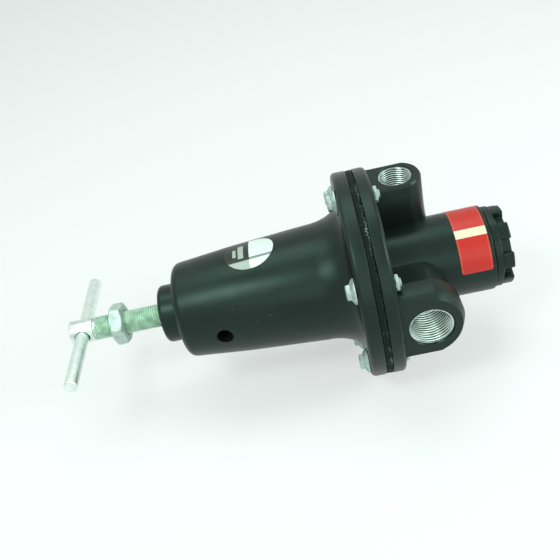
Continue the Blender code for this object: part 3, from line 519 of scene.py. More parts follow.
class Finish:
    """A surface as it was made, which becomes one material."""

    name: str

    def shade(self, nodes: Nodes, place: Socket) -> Socket:
        """Adds the nodes of this finish and gives its shader.

        Args:
            nodes: The material's nodes.
            place: Object coordinates.

        Returns:
            The shader's output socket.
        """
        raise NotImplementedError

    def material(self) -> bpy.types.Material:
        """Gives the material, which is made the first time."""
        found = bpy.data.materials.get(self.name)
        if found is not None:
            return found
        material = bpy.data.materials.new(self.name)
        material.use_nodes = True
        nodes = Nodes(material.node_tree)
        place = nodes.add("TexCoord").outputs["Object"]
        nodes.add("OutputMaterial", {"Surface": self.shade(nodes, place)})
        return material


@dataclass(frozen=True)
class SatinEnamel(Finish):
    """Black enamel baked on a zinc casting.

    To the eye it is a deep green-black with soft wide highlights, a faint orange peel
    and a little dust.
    """

    name: str = "satin_black_enamel"
    dark: str = "#0e1312"
    light: str = "#1a211f"
    dust: str = "#47534f"
    highlight: str = "#c4f2e4"
    shine: float = 0.36
    smooth: float = 0.3
    rough: float = 0.42
    peel_mm: float = 1.1
    cloud_mm: float = 22.0
    dust_mm: float = 1.7
    dust_from: Pair = (0.66, 0.78)
    dust_share: float = 0.55

    def shade(self, nodes: Nodes, place: Socket) -> Socket:
        """Mixes two blacks by a slow cloud, sprinkles dust and adds the peel as bump.

        Args:
            nodes: The material's nodes.
            place: Object coordinates.

        Returns:
            The shader's output socket.
        """
        cloud = nodes.noise(place, self.cloud_mm, 3.0)
        dusty = nodes.ramp(nodes.noise(place, self.dust_mm, 4.0), self.dust_from, (0.0, self.dust_share))
        paint = nodes.mix(cloud, linear(self.dark), linear(self.light))
        return nodes.surface(
            {
                "Base Color": nodes.mix(dusty, paint, linear(self.dust)),
                "Roughness": nodes.ramp(cloud, NOISE_BAND, (self.smooth, self.rough)),
                "Specular IOR Level": self.shine,
                "Specular Tint": linear(self.highlight),
                "Normal": nodes.bump(nodes.noise(place, self.peel_mm, 2.0), 0.16, 0.05),
            }
        )


@dataclass(frozen=True)
class PlatedSteel(Finish):
    """Steel with a bright metal surface: zinc plated, drawn or machined.

    To the eye it is a pale metal whose streaks run along the grain, with small dull
    patches where the plating is thin.
    """

    name: str = "bright_zinc_plate"
    bright: str = "#e2f0eb"
    dull: str = "#c9d9d3"
    smooth: float = 0.2
    rough: float = 0.38
    streak_mm: float = 0.35
    streak_length_mm: float = 9.0
    patch_mm: float = 4.0
    dull_from: Pair = (0.42, 0.72)
    grain: Corner = X_AXIS
    relief: float = 0.12

    def shade(self, nodes: Nodes, place: Socket) -> Socket:
        """Mixes a bright and a dull metal by patches, with streaks stretched along the grain.

        Args:
            nodes: The material's nodes.
            place: Object coordinates.

        Returns:
            The shader's output socket.
        """
        turn = Vector(X_AXIS).rotation_difference(Vector(self.grain)).inverted().to_euler()
        stretch = (self.streak_mm / self.streak_length_mm, 1.0, 1.0)
        turned_place = nodes.add("Mapping", {"Vector": place, "Rotation": tuple(turn)}).outputs[0]
        drawn = nodes.add("Mapping", {"Vector": turned_place, "Scale": stretch}).outputs[0]
        streak = nodes.noise(drawn, self.streak_mm, 3.0)
        dullness = nodes.ramp(nodes.noise(place, self.patch_mm, 5.0), self.dull_from)
        return nodes.surface(
            {
                "Base Color": nodes.mix(dullness, linear(self.bright), linear(self.dull)),
                "Metallic": 1.0,
                "Roughness": nodes.ramp(streak, NOISE_BAND, (self.smooth, self.rough)),
                "Normal": nodes.bump(streak, self.relief, 0.02),
            }
        )


@dataclass(frozen=True)
class Rubber(Finish):
    """Moulded or calendered rubber and fibre, dull and dark with pale flecks.

    To the eye the cut edge of the seam is a rough black band with short pale fibres.
    """

    name: str = "nitrile_rubber_edge"
    dark: str = "#0f1b18"
    pale: str = "#82958c"
    highlight: str = "#c4f2e4"
    grain_mm: float = 0.5
    fleck_mm: float = 0.55
    region_mm: float = 14.0
    fleck_from: float = 0.63
    fleck_edge: float = 0.05
    fleck_share: float = 0.6
    rough: float = 0.8
    shine: float = 0.25

    def shade(self, nodes: Nodes, place: Socket) -> Socket:
        """Shows pale fibres where a fine noise is high, on a grainy dark ground.

        Args:
            nodes: The material's nodes.
            place: Object coordinates.

        Returns:
            The shader's output socket.
        """
        fibre = nodes.noise(place, self.fleck_mm, 6.0, 0.75)
        level = nodes.maths("MULTIPLY", fibre, nodes.noise(place, self.region_mm, 1.0))
        start = 0.5 * self.fleck_from
        fleck = nodes.ramp(level, (start, start + self.fleck_edge), (0.0, self.fleck_share))
        return nodes.surface(
            {
                "Base Color": nodes.mix(fleck, linear(self.dark), linear(self.pale)),
                "Roughness": self.rough,
                "Specular IOR Level": self.shine,
                "Specular Tint": linear(self.highlight),
                "Normal": nodes.bump(nodes.noise(place, self.grain_mm, 4.0), 0.6, 0.2),
            }
        )


class Ground(Enum):
    """How the ground of a label's print is laid."""

    EVEN = "one even colour"
    BLOTTED = "two colours in soft blots"


@dataclass(frozen=True)
class Field:
    """A plain field of a label's print, in millimetres from the label's middle."""

    colour: str
    across: Pair | None = None
    round_it: Pair | None = None
    share: float = 1.0


@dataclass(frozen=True)
class PrintedFilm(Finish):
    """Ink on a polyester film, with bare fields where a maker would put words.

    To the eye it is a flat even colour with a satin sheen and a few fine scuffs.
    """

    name: str
    ground: Ground
    colours: tuple[str, ...]
    fields: tuple[Field, ...]
    rough: float = 0.34
    worn: float = 0.16
    scuff_mm: float = 0.9
    blot_scale: float = 0.16

    def shade(self, nodes: Nodes, place: Socket) -> Socket:
        """Lays the fields one over another by the label's own flat map.

        Args:
            nodes: The material's nodes.
            place: Object coordinates.

        Returns:
            The shader's output socket.
        """
        flat = nodes.add("UVMap", uv_map=PRINT_MAP).outputs["UV"]
        across, round_it, _ = nodes.add("SeparateXYZ", {0: flat}).outputs
        colour: Socket | Colour = linear(self.colours[0])
        if self.ground is Ground.BLOTTED:
            blot = nodes.add("TexNoise", {"Vector": across, "Scale": self.blot_scale, "Detail": 2.0})
            colour = nodes.mix(blot.outputs["Fac"], colour, linear(self.colours[1]))
        for field in self.fields:
            share: Socket | float = field.share
            for value, limits in ((across, field.across), (round_it, field.round_it)):
                if limits is not None:
                    share = nodes.maths("MULTIPLY", nodes.within(value, *limits), share)
            colour = nodes.mix(share, colour, linear(field.colour))
        scuff = nodes.noise(place, self.scuff_mm, 6.0)
        roughness = nodes.ramp(scuff, (0.35, 0.75), (self.rough, self.rough + self.worn))
        return nodes.surface(
            {"Base Color": colour, "Roughness": roughness, "Normal": nodes.bump(scuff, 0.08, 0.05)}
        )


@dataclass(frozen=True)
class PaleSweep(Finish):
    """The matt paper sweep that the regulator lies on.

    Seen by the camera or in a reflection it is mostly its own pale colour, so that the
    ground is even, and the rest of it takes light, which keeps the shadow. The own colour
    is a little greener than the paper, so the shadow is cool.
    """

    name: str = "pale_paper_sweep"
    colour: str = "#fffbfd"
    glow: str = "#f5f8f8"
    own_light: float = 0.57
    fibre_mm: float = 1.5

    def shade(self, nodes: Nodes, place: Socket) -> Socket:
        """Mixes a lit paper with a steady glow for camera, glossy and transmission rays.

        Args:
            nodes: The material's nodes.
            place: Object coordinates.

        Returns:
            The shader's output socket.
        """
        normal = nodes.bump(nodes.noise(place, self.fibre_mm, 3.0), 0.05, 0.05)
        paper = nodes.surface(
            {"Base Color": linear(self.colour), "Roughness": 0.9, "Specular IOR Level": 0.1, "Normal": normal}
        )
        glow = nodes.add("Emission", {"Color": linear(self.glow), "Strength": 1.0}).outputs[0]
        share = nodes.maths("MULTIPLY", nodes.seen(), self.own_light)
        return nodes.add("MixShader", {0: share, 1: paper, 2: glow}).outputs[0]


ENAMEL = SatinEnamel()
ZINC = PlatedSteel()
ZINC_SCREW = PlatedSteel("zinc_plated_screw", "#bccfc8", "#93a79f", 0.56, 0.7)
ZINC_NUT = PlatedSteel("zinc_plated_nut", "#c2d5ce", "#a6bab2", 0.58, 0.7)
ZINC_BAR = PlatedSteel(
    "zinc_plated_drawn_bar", "#eef8f4", "#d9e8e2", 0.24, 0.4, grain=outward(TEE_ANGLE), streak_length_mm=14.0
)
THREAD_ZINC = PlatedSteel("zinc_plated_thread", "#cbe4d3", "#a9c4b1", 0.52, 0.64)
MACHINED = PlatedSteel("machined_zinc_casting", "#cfe0da", "#aabcb5", 0.26, 0.38, relief=0.04)
# Painted shade: a dark copy of the machined metal, laid on the thread faces deepest in a socket's roots, where
# shade falls.
THREAD_ROOT_PAINTED_SHADE = PlatedSteel("thread_root_painted_shade", "#36423e", "#222b28", 0.3, 0.44, relief=0.04)
SPRING_STEEL = PlatedSteel("oiled_spring_steel", "#8b9094", "#55595c", 0.28, 0.5, streak_length_mm=2.0)
BRASS = PlatedSteel("turned_brass", "#d9b878", "#a98a4e", 0.2, 0.42, streak_length_mm=1.0)
RUBBER = Rubber("moulded_nitrile_rubber", dark="#111413", fleck_share=0.0)
SEAM_RUBBER = Rubber()
FIBRE = Rubber("compressed_fibre_edge", dark="#14201c", pale="#8b9f95", fleck_mm=0.4, fleck_from=0.6)
RED_FILM = PrintedFilm(
    "red_polyester_film",
    Ground.BLOTTED,
    ("#cb2413", "#bb1b0e"),
    (
        Field("#d9573f", across=(-20.0, -7.8), share=0.55),
        Field("#d9573f", across=(7.8, 20.0), share=0.45),
        Field("#ece0c6", round_it=(9.3, 14.5), share=0.95),
    ),
)
ROUND_FILM = PrintedFilm(
    "two_tone_polyester_film",
    Ground.EVEN,
    ("#eef6f2",),
    (
        Field("#151a18", across=(-30.0, 0.0)),
        Field("#aab8ae", across=(-6.4, -3.2), round_it=(-7.0, 5.4)),
        Field("#aab8ae", across=(-9.6, -7.6), round_it=(-4.0, 3.4)),
        Field("#7d9186", across=(0.0, 30.0), round_it=(5.8, 7.6)),
        Field("#aab8ae", across=(-30.0, 0.0), round_it=(7.6, 30.0)),
        Field("#eef6f2", across=(0.0, 30.0), round_it=(7.6, 30.0)),
    ),
    rough=0.28,
)


# Putting pieces on the frame


@dataclass(frozen=True)
class Seat:
    """Where a piece belongs: its body, its material slot and the nodes it stands for."""

    body: str
    slot: str
    nodes: tuple[str, ...] = ()


class Builder:
    """Puts finished pieces on the frame and reports each one."""

    def piece(
        self,
        name: str,
        surfaces: list[Surface],
        finishes: list[Finish],
        seat: Seat,
        hole: Surface | None = None,
    ) -> bpy.types.Object:
        """Makes a piece, which rides on its body and stands for its nodes.

        Args:
            name: The piece's name.
            surfaces: Its grids.
            finishes: Its finishes, in the order of the finish numbers.
            seat: Where it belongs.
            hole: What is drilled out of it.

        Returns:
            The piece.
        """
        thing = link_object(name, make_mesh(name, surfaces))
        for finish in finishes:
            thing.data.materials.append(finish.material())
        if hole is not None:
            drill(thing, hole)
        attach(thing, seat.body)
        if seat.nodes:
            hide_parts(*seat.nodes)
        LOG.info("%s: %d faces, rides on %s", name, len(thing.data.polygons), seat.body)
        return thing


@dataclass
class Bonnet:
    """The spring cage: flange, flare, two-stage taper, shoulder and neck in one casting."""

    face: float = -26.8
    flange_back: float = -35.4
    flange_radius: float = 60.5
    rim_round: float = 2.6
    seam_round: float = 0.7
    flare_start: float = -55.4
    flare_radius: float = 34.5
    flare_foot: float = 44.9
    flare_wall: float = 5.6
    bend: float = -100.4
    bend_radius: float = 31.6
    end: float = -137.6
    end_radius: float = 28.05
    shoulder_round: float = 5.0
    neck_end: float = -148.7
    neck_radius: float = 17.2
    neck_round: float = 2.6
    bore_radius: float = 7.25
    cage_end: float = -133.0
    cage_radius: float = 22.3
    recess_radius: float = 35.0
    recess_floor: float = -34.8
    vent_station: float = -111.8
    vent_radius: float = 4.75
    vent_angle: float = 90.0
    steps: int = 240

    def profile(self) -> np.ndarray:
        """Gives the casting's closed profile: the outside towards -X and the inside back.

        Returns:
            Station and radius of each point.
        """
        rim = filleted(
            [
                (self.face, self.recess_radius, 0.0),
                (self.face, self.flange_radius, self.seam_round),
                (self.flange_back, self.flange_radius, self.rim_round),
                (self.flange_back, self.flare_foot, 0.0),
            ]
        )
        reach = (self.flange_back - self.flare_start, self.flare_foot - self.flare_radius)
        flare = quarter((self.flare_start, self.flare_foot), reach, 0.0, -90.0, 18)
        rest = filleted(
            [
                (self.flare_start - 0.2, self.flare_radius, 0.0),
                (self.bend, self.bend_radius, 60.0),
                (self.end, self.end_radius, self.shoulder_round),
                (self.end, self.neck_radius, 0.8),
                (self.neck_end, self.neck_radius, self.neck_round),
                (self.neck_end, self.bore_radius, 0.6),
                (self.cage_end, self.bore_radius, 0.0),
                (self.cage_end, self.cage_radius, 0.0),
                (self.bend, self.cage_radius, 0.0),
                (self.flare_start, self.flare_radius - self.flare_wall, 0.0),
                (self.recess_floor, self.recess_radius, 0.0),
            ],
            steps=8,
        )
        return np.concatenate((rim, flare[1:], rest))

    def build(self, builder: Builder) -> None:
        """Turns the casting, drills its vent and settles it."""
        body = Surface(turned(self.profile(), steps=self.steps), rows_close=True)
        axes = port_axes(self.vent_angle, station=self.vent_station)
        bore = [(10.0, self.vent_radius), (60.0, self.vent_radius)]
        hole = Surface(turned(bore, axes, 64), start_cap=True, end_cap=True)
        builder.piece("bonnet_casting", [body], [ENAMEL], Seat("housing", "black_enamel", ("bonnet",)), hole)


@dataclass
class PortBoss:
    """A U-shaped boss whose straight sides run into the flange, with a threaded socket."""

    angle: float
    face: float
    half_width: float
    taper: float
    taper_height: float
    collar: float
    undercut: float
    neck_width: float
    port_radius: float
    socket_depth: float
    gallery_radius: float
    gallery_shift: float
    nose_centre: float
    nose_radius: float
    root_centre: float
    root_radius: float
    back: float = 0.0
    flange_back: float = -15.2
    foot: float = 15.0
    fillet: float = 1.2
    fillet_at_face: float = 0.8
    fillet_height: float = 12.0
    taper_ease: float = 1.15
    collar_edge: float = 0.8
    lip: float = 0.5
    lip_depth: float = 0.6
    thread_room: float = 0.1
    thread_share: float = 0.6
    pitch: float = 1.814
    nose_steps: int = 72
    side_steps: int = 11
    inner_steps: int = 33
    fillet_steps: int = 8
    steps: int = 96

    def outline(self, width: float, centre: float, radius: float, fillet: float) -> np.ndarray:
        """Gives the U round the port's axis: X and the distance round the body.

        The U is a straight side, an arc round the port and the other side. The arc is
        flatter than half a circle, so it meets each side at an upright edge. Each side
        opens into the flange by a quarter circle, and a line inside the flange closes it.

        Args:
            width: Half the distance between the straight sides.
            centre: Where the middle of the nose's arc lies along X.
            radius: Radius of the nose's arc.
            fillet: Radius of the quarter circles at the flange.

        Returns:
            A closed ring of points, the same number for every size.
        """
        back = self.flange_back
        half_turn = math.degrees(math.asin(width / radius))
        nose = quarter((centre, 0.0), (radius, radius), half_turn, -half_turn, self.nose_steps)
        side = np.linspace(back + fillet, nose[0, 0] - 0.4, self.side_steps + 1)[1:]
        upper = np.column_stack((side, np.full(self.side_steps, width)))
        bend = np.radians(np.linspace(0.0, 90.0, self.fillet_steps + 1))
        start = np.column_stack((back + fillet * (1.0 - np.cos(bend)), width + fillet * (1.0 - np.sin(bend))))
        run = np.linspace(-1.0, 1.0, self.inner_steps) * (width + fillet)
        inside = np.column_stack((np.full(self.inner_steps, back - 1.0), run))
        mirror = (1.0, -1.0)
        return np.concatenate((start, upper, nose, upper[::-1] * mirror, start[::-1] * mirror, inside))

    def sections(self) -> list[tuple[float, float, float, float]]:
        """Gives each ring's height, half width, nose centre and nose radius, face to foot."""
        rows = []
        for drop in np.linspace(0.0, 1.0, 7):
            inset = self.taper * (1.0 - drop) ** self.taper_ease
            height = self.face - self.taper_height * drop
            rows.append((height, self.half_width - inset, self.nose_centre, self.nose_radius - inset))
        rows.append((self.collar, self.half_width, self.nose_centre, self.nose_radius))
        first = np.array((self.collar - self.collar_edge, self.half_width, self.nose_centre, self.nose_radius))
        first -= np.array((0.0, self.undercut, 0.0, self.undercut))
        last = np.array((self.foot, self.neck_width, self.root_centre, self.root_radius))
        for share in np.linspace(0.0, 1.0, 9):
            rows.append(tuple(first + (last - first) * share))
        return rows

    def surfaces(self) -> list[Surface]:
        """Lofts the U through its sections, and closes it with the face and the socket."""
        axes = port_axes(self.angle, self.back)
        sides = []
        for height, *shape in self.sections():
            share = np.clip((self.face - height) / self.fillet_height, 0.0, 1.0)
            fillet = self.fillet_at_face + (self.fillet - self.fillet_at_face) * share
            ring = self.outline(*shape, fillet)
            sides.append(axes.place(np.full(len(ring), height), ring[:, 0], ring[:, 1]))
        top = self.outline(*self.sections()[0][1:], self.fillet_at_face)
        turn = np.unwrap(np.arctan2(top[:, 1], top[:, 0]))
        turn = np.minimum.accumulate(turn)
        turn = turn[0] - (turn[0] - turn) * math.tau / max(turn[0] - turn[-1] + 0.04, math.tau)
        lip = [
            (self.face, self.port_radius + self.lip),
            (self.face - self.lip_depth, self.port_radius + self.thread_room),
        ]
        mouth = rings(axes, turn, lip)
        shell = Surface(np.concatenate((mouth[:1], sides)), end_cap=True)
        return [shell, Surface(mouth[::-1]), *self.socket(axes)]

    def socket(self, axes: Axes) -> list[Surface]:
        """Makes the thread, the socket's floor and the blind gallery in it.

        Args:
            axes: The port's axes.

        Returns:
            The surfaces: machined metal, with painted shade on the thread faces deepest in the roots.
        """
        floor = self.face - self.socket_depth
        depth = self.thread_share * self.pitch
        root = self.port_radius + self.thread_room
        thread, outer = helix(floor, self.face - self.lip_depth, root, depth, self.pitch, axes, self.steps)
        radius = self.gallery_radius
        gallery = [(floor, radius), (self.foot + 10.0, radius), (self.foot + 8.0, 0.3)]
        blend = np.linspace(0.0, 1.0, 2)[:, None]
        turn = around(self.steps)[None]
        crest = root - depth
        ring_x = crest * np.cos(turn) * (1.0 - blend) + (radius * np.cos(turn) + self.gallery_shift) * blend
        ring_t = crest * np.sin(turn) * (1.0 - blend) + radius * np.sin(turn) * blend
        shelf = axes.place(np.full_like(ring_x, floor), ring_x, ring_t)
        shifted = port_axes(self.angle, self.back, self.gallery_shift)
        return [
            # Faces near the root radius get finish 2, the dark thread-root metal: painted shade in the thread's
            # grooves.
            Surface(thread, columns_close=False, finish=np.where(outer > 0.5, 2, 1)),
            Surface(shelf, finish=1),
            Surface(turned(gallery, shifted, self.steps), end_cap=True, finish=1),
        ]


@dataclass
class ValveBody:
    """The valve body: flange and barrel turned together, with four port bosses."""

    flange_face: float = -22.9
    flange_back: float = -15.2
    flange_radius: float = 60.5
    rim_round: float = 2.6
    seam_round: float = 0.7
    barrel_radius: float = 24.7
    barrel_end: float = 44.5
    barrel_root: float = 3.2
    bore_start: float = 28.8
    bore_radius: float = 20.7
    chamber_radius: float = 18.5
    recess: float = -17.0
    recess_radius: float = 33.0
    web: float = 3.0
    seat_bore: float = 9.3
    steps: int = 240

    def profile(self) -> np.ndarray:
        """Gives the closed profile of the flange, the barrel and the chambers inside."""
        return filleted(
            [
                (self.bore_start, self.bore_radius, 0.0),
                (self.barrel_end, self.bore_radius, 0.3),
                (self.barrel_end, self.barrel_radius, 0.9),
                (self.flange_back, self.barrel_radius, self.barrel_root),
                (self.flange_back, self.flange_radius, self.rim_round),
                (self.flange_face, self.flange_radius, self.seam_round),
                (self.flange_face, self.recess_radius, 0.0),
                (self.recess, self.recess_radius, 0.0),
                (self.recess, self.chamber_radius, 0.0),
                (-self.web, self.chamber_radius, 0.0),
                (-self.web, self.seat_bore, 0.0),
                (self.web, self.seat_bore, 0.0),
                (self.web, self.chamber_radius, 0.0),
                (self.bore_start, self.chamber_radius, 0.0),
            ],
            steps=8,
            closed=True,
        )

    def bosses(self) -> list[PortBoss]:
        """Gives the two large bosses, front and back, and the two small ones."""
        large = dict(
            face=56.0,
            half_width=20.8,
            taper=2.3,
            taper_height=5.4,
            collar=41.0,
            undercut=2.6,
            neck_width=14.6,
            root_centre=1.4,
            root_radius=14.8,
            port_radius=12.3,
            socket_depth=26.0,
            gallery_radius=5.0,
            nose_centre=-3.0,
            nose_radius=22.1,
        )
        small = dict(
            face=50.0,
            half_width=12.5,
            back=18.02,
            taper=1.0,
            taper_height=1.6,
            collar=31.0,
            undercut=0.0,
            neck_width=12.5,
            port_radius=9.65,
            socket_depth=22.0,
            gallery_radius=4.0,
            gallery_shift=-4.85,
            nose_centre=1.1,
            nose_radius=13.4,
            root_centre=1.6,
            root_radius=13.4,
            pitch=1.411,
        )
        return [
            PortBoss(angle=0.0, **small),
            PortBoss(angle=90.0, gallery_shift=6.5, **large),
            PortBoss(angle=180.0, **small),
            PortBoss(angle=270.0, gallery_shift=-6.5, **large),
        ]

    def build(self, builder: Builder) -> None:
        """Makes the body with its bosses and settles it."""
        surfaces = [Surface(turned(self.profile(), steps=self.steps), rows_close=True)]
        for boss in self.bosses():
            surfaces += boss.surfaces()
        # The third finish is the dark thread-root metal, painted shade in the sockets' thread roots.
        finishes = [ENAMEL, MACHINED, THREAD_ROOT_PAINTED_SHADE]
        builder.piece("valve_body_casting", surfaces, finishes, Seat("housing", "black_enamel", ("valve_body",)))


@dataclass
class BottomPlug:
    """The castellated plug: a ring with eight lugs, and its skirt in the barrel."""

    shoulder: float = 44.8
    end: float = 55.0
    head_radius: float = 23.6
    lug_radius: float = 23.0
    skirt_radius: float = 20.4
    skirt_end: float = 29.8
    notches: int = 8
    notch_start: float = 10.0
    notch_width: float = 7.6
    notch_reach: float = 5.0
    notch_depth: float = 6.0
    edge_round: float = 0.9
    corner_round: float = 0.9
    rim_blend: float = 0.03
    recess: float = 1.2

    def crown(self) -> np.ndarray:
        """Gives the outline of the lugs seen from the end: arcs joined by square notches.

        Each notch is a straight-sided bay with rounded corners, and between two bays the
        outline follows the lug circle.

        Returns:
            A closed ring of points, first and second coordinate across the axis.
        """
        half = 0.5 * self.notch_width
        floor = self.lug_radius - self.notch_reach
        lip = math.sqrt(self.lug_radius**2 - half**2)
        bay = filleted(
            [
                (lip - 0.6, -half - 3.0, 0.0),
                (lip, -half, self.corner_round),
                (floor, -half, 0.8),
                (floor, half, 0.8),
                (lip, half, self.corner_round),
                (lip - 0.6, half + 3.0, 0.0),
            ],
            steps=4,
        )[1:-1]
        gap = 0.5 * math.tau / self.notches
        edge = math.atan2(bay[-1, 1], bay[-1, 0])
        last = 2.0 * gap - edge
        run = np.linspace(edge, last, 14)[1:-1]
        reach = np.hypot(*bay[-1])
        marks = (edge, edge + self.rim_blend, last - self.rim_blend, last)
        rim = np.interp(run, marks, (reach, self.lug_radius, self.lug_radius, reach))
        sector = np.concatenate((bay, np.column_stack((rim * np.cos(run), rim * np.sin(run)))))
        lugs = []
        for index in range(self.notches):
            turn = math.radians(self.notch_start) + 2.0 * gap * index
            spin = np.array([(math.cos(turn), math.sin(turn)), (-math.sin(turn), math.cos(turn))])
            lugs.append(sector @ spin)
        return np.concatenate(lugs)

    def build(self, builder: Builder) -> None:
        """Makes the crown, the ring under it and the skirt, and settles the plug."""
        axes = Axes()
        crown = self.crown()
        tangent = np.roll(crown, -1, 0) - np.roll(crown, 1, 0)
        normal = np.column_stack((tangent[:, 1], -tangent[:, 0]))
        normal /= np.linalg.norm(normal, axis=1)[:, None]
        floor = self.end - self.notch_depth
        lugs = []
        for turn in np.radians(np.linspace(90.0, 0.0, 7)):
            ring = crown - normal * self.edge_round * (1.0 - math.cos(turn))
            lugs.append((self.end - self.edge_round * (1.0 - math.sin(turn)), ring))
        lugs.append((floor, crown))
        lugs = [axes.place(np.full(len(ring), station), ring[:, 0], ring[:, 1]) for station, ring in lugs]
        angle = np.maximum.accumulate(np.unwrap(np.arctan2(crown[:, 1], crown[:, 0])))
        outer = filleted(
            [
                (floor, self.lug_radius - 0.2, 0.0),
                (floor - 0.6, self.head_radius, 0.4),
                (self.shoulder, self.head_radius, 0.5),
                (self.shoulder, self.skirt_radius, 0.0),
                (self.skirt_end, self.skirt_radius, 0.4),
                (self.skirt_end, 8.0, 0.0),
            ]
        )
        deep = self.end - self.recess
        inner = [(deep, 9.0), (deep, 12.6), (self.end, 13.2), (self.end, 15.0)]
        grid = np.concatenate((rings(axes, angle, inner), lugs, rings(axes, angle, outer)))
        surface = Surface(grid, start_cap=True, end_cap=True)
        builder.piece("castellated_plug", [surface], [ENAMEL], Seat("housing", "black_enamel", ("bottom_plug",)))


@dataclass
class FlangeSeam:
    """The clamped edges of the diaphragm and the gasket between the two flanges."""

    bore: float = 43.0
    lean_from: float = 50.0
    sway: float = 0.12
    waves: int = 40
    steps: int = 900

    def ring(self, left: float, right: float, radius: float, fray: float, seed: int) -> Surface:
        """A ring whose rim wanders: its radius is a sum of many small sine waves.

        Args:
            left: Station of its left face.
            right: Station of its right face.
            radius: Radius of the rim.
            fray: How far the rim strays.
            seed: Start of its random numbers.

        Returns:
            A grid of points, closed both ways.
        """
        corners = [(left, self.bore, 0.0), (right, self.bore, 0.0), (right, radius, 0.5), (left, radius, 0.5)]
        path = filleted(corners, steps=4, closed=True)
        chance = np.random.default_rng(seed)
        turn = around(self.steps)[None]
        waves = chance.integers(5, 260, self.waves)[:, None]
        phases = chance.uniform(0.0, math.tau, self.waves)[:, None]
        wander = np.sin(waves * turn + phases).sum(0) / math.sqrt(0.5 * self.waves)
        lean = np.clip((path[:, 1:2] - self.lean_from) / 8.0, 0.0, 1.0)
        size = path[:, 1:2] + fray * wander[None] * lean
        station = path[:, 0:1] + self.sway * lean * np.roll(wander, 40)[None]
        return Surface(Axes().place(station, size * np.cos(turn), size * np.sin(turn)), rows_close=True)

    def build(self, builder: Builder) -> None:
        """Makes the two rings and settles them."""
        edge = self.ring(-26.6, -24.8, 59.9, 0.16, 7)
        builder.piece("diaphragm_edge", [edge], [SEAM_RUBBER], Seat("housing", "nitrile_rubber"))
        gasket = self.ring(-24.7, -23.1, 60.1, 0.14, 11)
        builder.piece("gasket_ring", [gasket], [FIBRE], Seat("housing", "gasket_fibre", ("flange_gasket",)))


@dataclass
class FlangeFasteners:
    """Six hexagon washer-head screws through the flanges, and their nuts."""

    circle: float = 52.3
    washer_right: float = -35.6
    washer_radius: float = 7.1
    head_height: float = 5.2
    hex_width: float = 8.2
    nut_left: float = -14.9
    nut_width: float = 8.6
    nut_height: float = 2.1
    shank_radius: float = 2.4
    shank_length: float = 24.0
    rolls: tuple[float, ...] = (8.0, 21.0, 14.0, 3.0, 26.0, 11.0)
    steps: int = 72

    def hex_rings(self, axes: Axes, rows: list[Corner], width: float, roll: float) -> np.ndarray:
        """Rings that change from a circle to a hexagon.

        Each ring's radius is a blend of a circle and the hexagon of the given width, both
        grown by the same amount.

        Args:
            axes: Where the rings lie.
            rows: Station, circle radius or size added to the hexagon, and share of hexagon.
            width: Size of the hexagon across its flats.
            roll: Turn of the hexagon in degrees.

        Returns:
            A grid of points, one row for each ring.
        """
        turn = around(self.steps)
        shape = hexagon(width, turn, math.radians(roll))
        blended = [(place, (shape + size) * share + size * (1.0 - share)) for place, size, share in rows]
        return rings(axes, turn, blended)

    def screw(self, axes: Axes, roll: float) -> Surface:
        """A cone that runs up from its washer rim into a low dished hexagon, and the shank."""
        top, rim, shank = self.head_height, self.washer_radius, self.shank_radius
        rows = [
            (-(top - 0.6), 1.2, 0.0),
            (-(top - 0.45), 2.3, 0.0),
            (-top, 2.9, 0.0),
            (-top, 3.3, 0.0),
            (-(top - 0.15), 3.7, 0.0),
            (-(top - 0.6), -0.02, 1.0),
            (-3.1, 0.0, 1.0),
            (-2.7, 0.2, 1.0),
            (-2.2, 5.5, 0.0),
            (-1.1, rim - 0.25, 0.0),
            (-0.75, rim, 0.0),
            (-0.15, rim, 0.0),
            (0.0, rim - 0.2, 0.0),
            (0.0, shank, 0.0),
            (self.shank_length, shank, 0.0),
        ]
        return Surface(self.hex_rings(axes, rows, self.hex_width, roll), start_cap=True, end_cap=True)

    def nut(self, axes: Axes, roll: float) -> Surface:
        """A chamfered hexagon round the shank's end."""
        high, shank = self.nut_height, self.shank_radius
        chamfer = 0.5 * self.nut_width - 0.1
        rows = [
            (0.0, shank + 0.1, 0.0),
            (0.0, chamfer, 0.0),
            (0.35, 0.0, 1.0),
            (high - 0.35, 0.0, 1.0),
            (high, chamfer, 0.0),
            (high, shank + 0.45, 0.0),
            (high - 0.5, shank, 0.0),
        ]
        return Surface(self.hex_rings(axes, rows, self.nut_width, roll), rows_close=True)

    def build(self, builder: Builder) -> None:
        """Makes each screw and nut, turned differently, and settles them."""
        for index, roll in enumerate(self.rolls):
            number = index + 1
            _, across, up = (float(v) for v in np.array(outward(360.0 * index / len(self.rolls))) * self.circle)
            screw = self.screw(Axes(origin=(self.washer_right, across, up)), roll)
            nut = self.nut(Axes(origin=(self.nut_left, across, up)), self.rolls[-index])
            for name, surface, node in (("washer_head_screw", screw, "screw"), ("hexagon_nut", nut, "nut")):
                seat = Seat("housing", "zinc_plated_steel", (f"flange_{node}_{number}",))
                builder.piece(f"{name}_{number}", [surface], [ZINC_SCREW], seat)


@dataclass
class GaugePlug:
    """The hexagon-socket plug in the bottom port."""

    outer: float = 49.5
    back: float = 18.02
    length: float = 13.0
    radius: float = 9.35
    key: float = 9.5
    key_depth: float = 7.0
    steps: int = 96

    def build(self, builder: Builder) -> None:
        """Makes the plug with its hexagon socket and settles it."""
        turn = around(self.steps)
        shape = hexagon(self.key, turn)
        floor = self.outer - self.key_depth
        rows = [
            (floor - 1.2, 0.6),
            (floor, shape),
            (self.outer - 0.5, shape),
            (self.outer, shape + 0.5),
            (self.outer, self.radius - 0.8),
            (self.outer - 0.8, self.radius),
            (self.outer - self.length, self.radius),
        ]
        surface = Surface(rings(port_axes(180.0, self.back), turn, rows), start_cap=True, end_cap=True)
        builder.piece("socket_plug", [surface], [ZINC], Seat("housing", "zinc_plated_steel", ("gauge_plug",)))


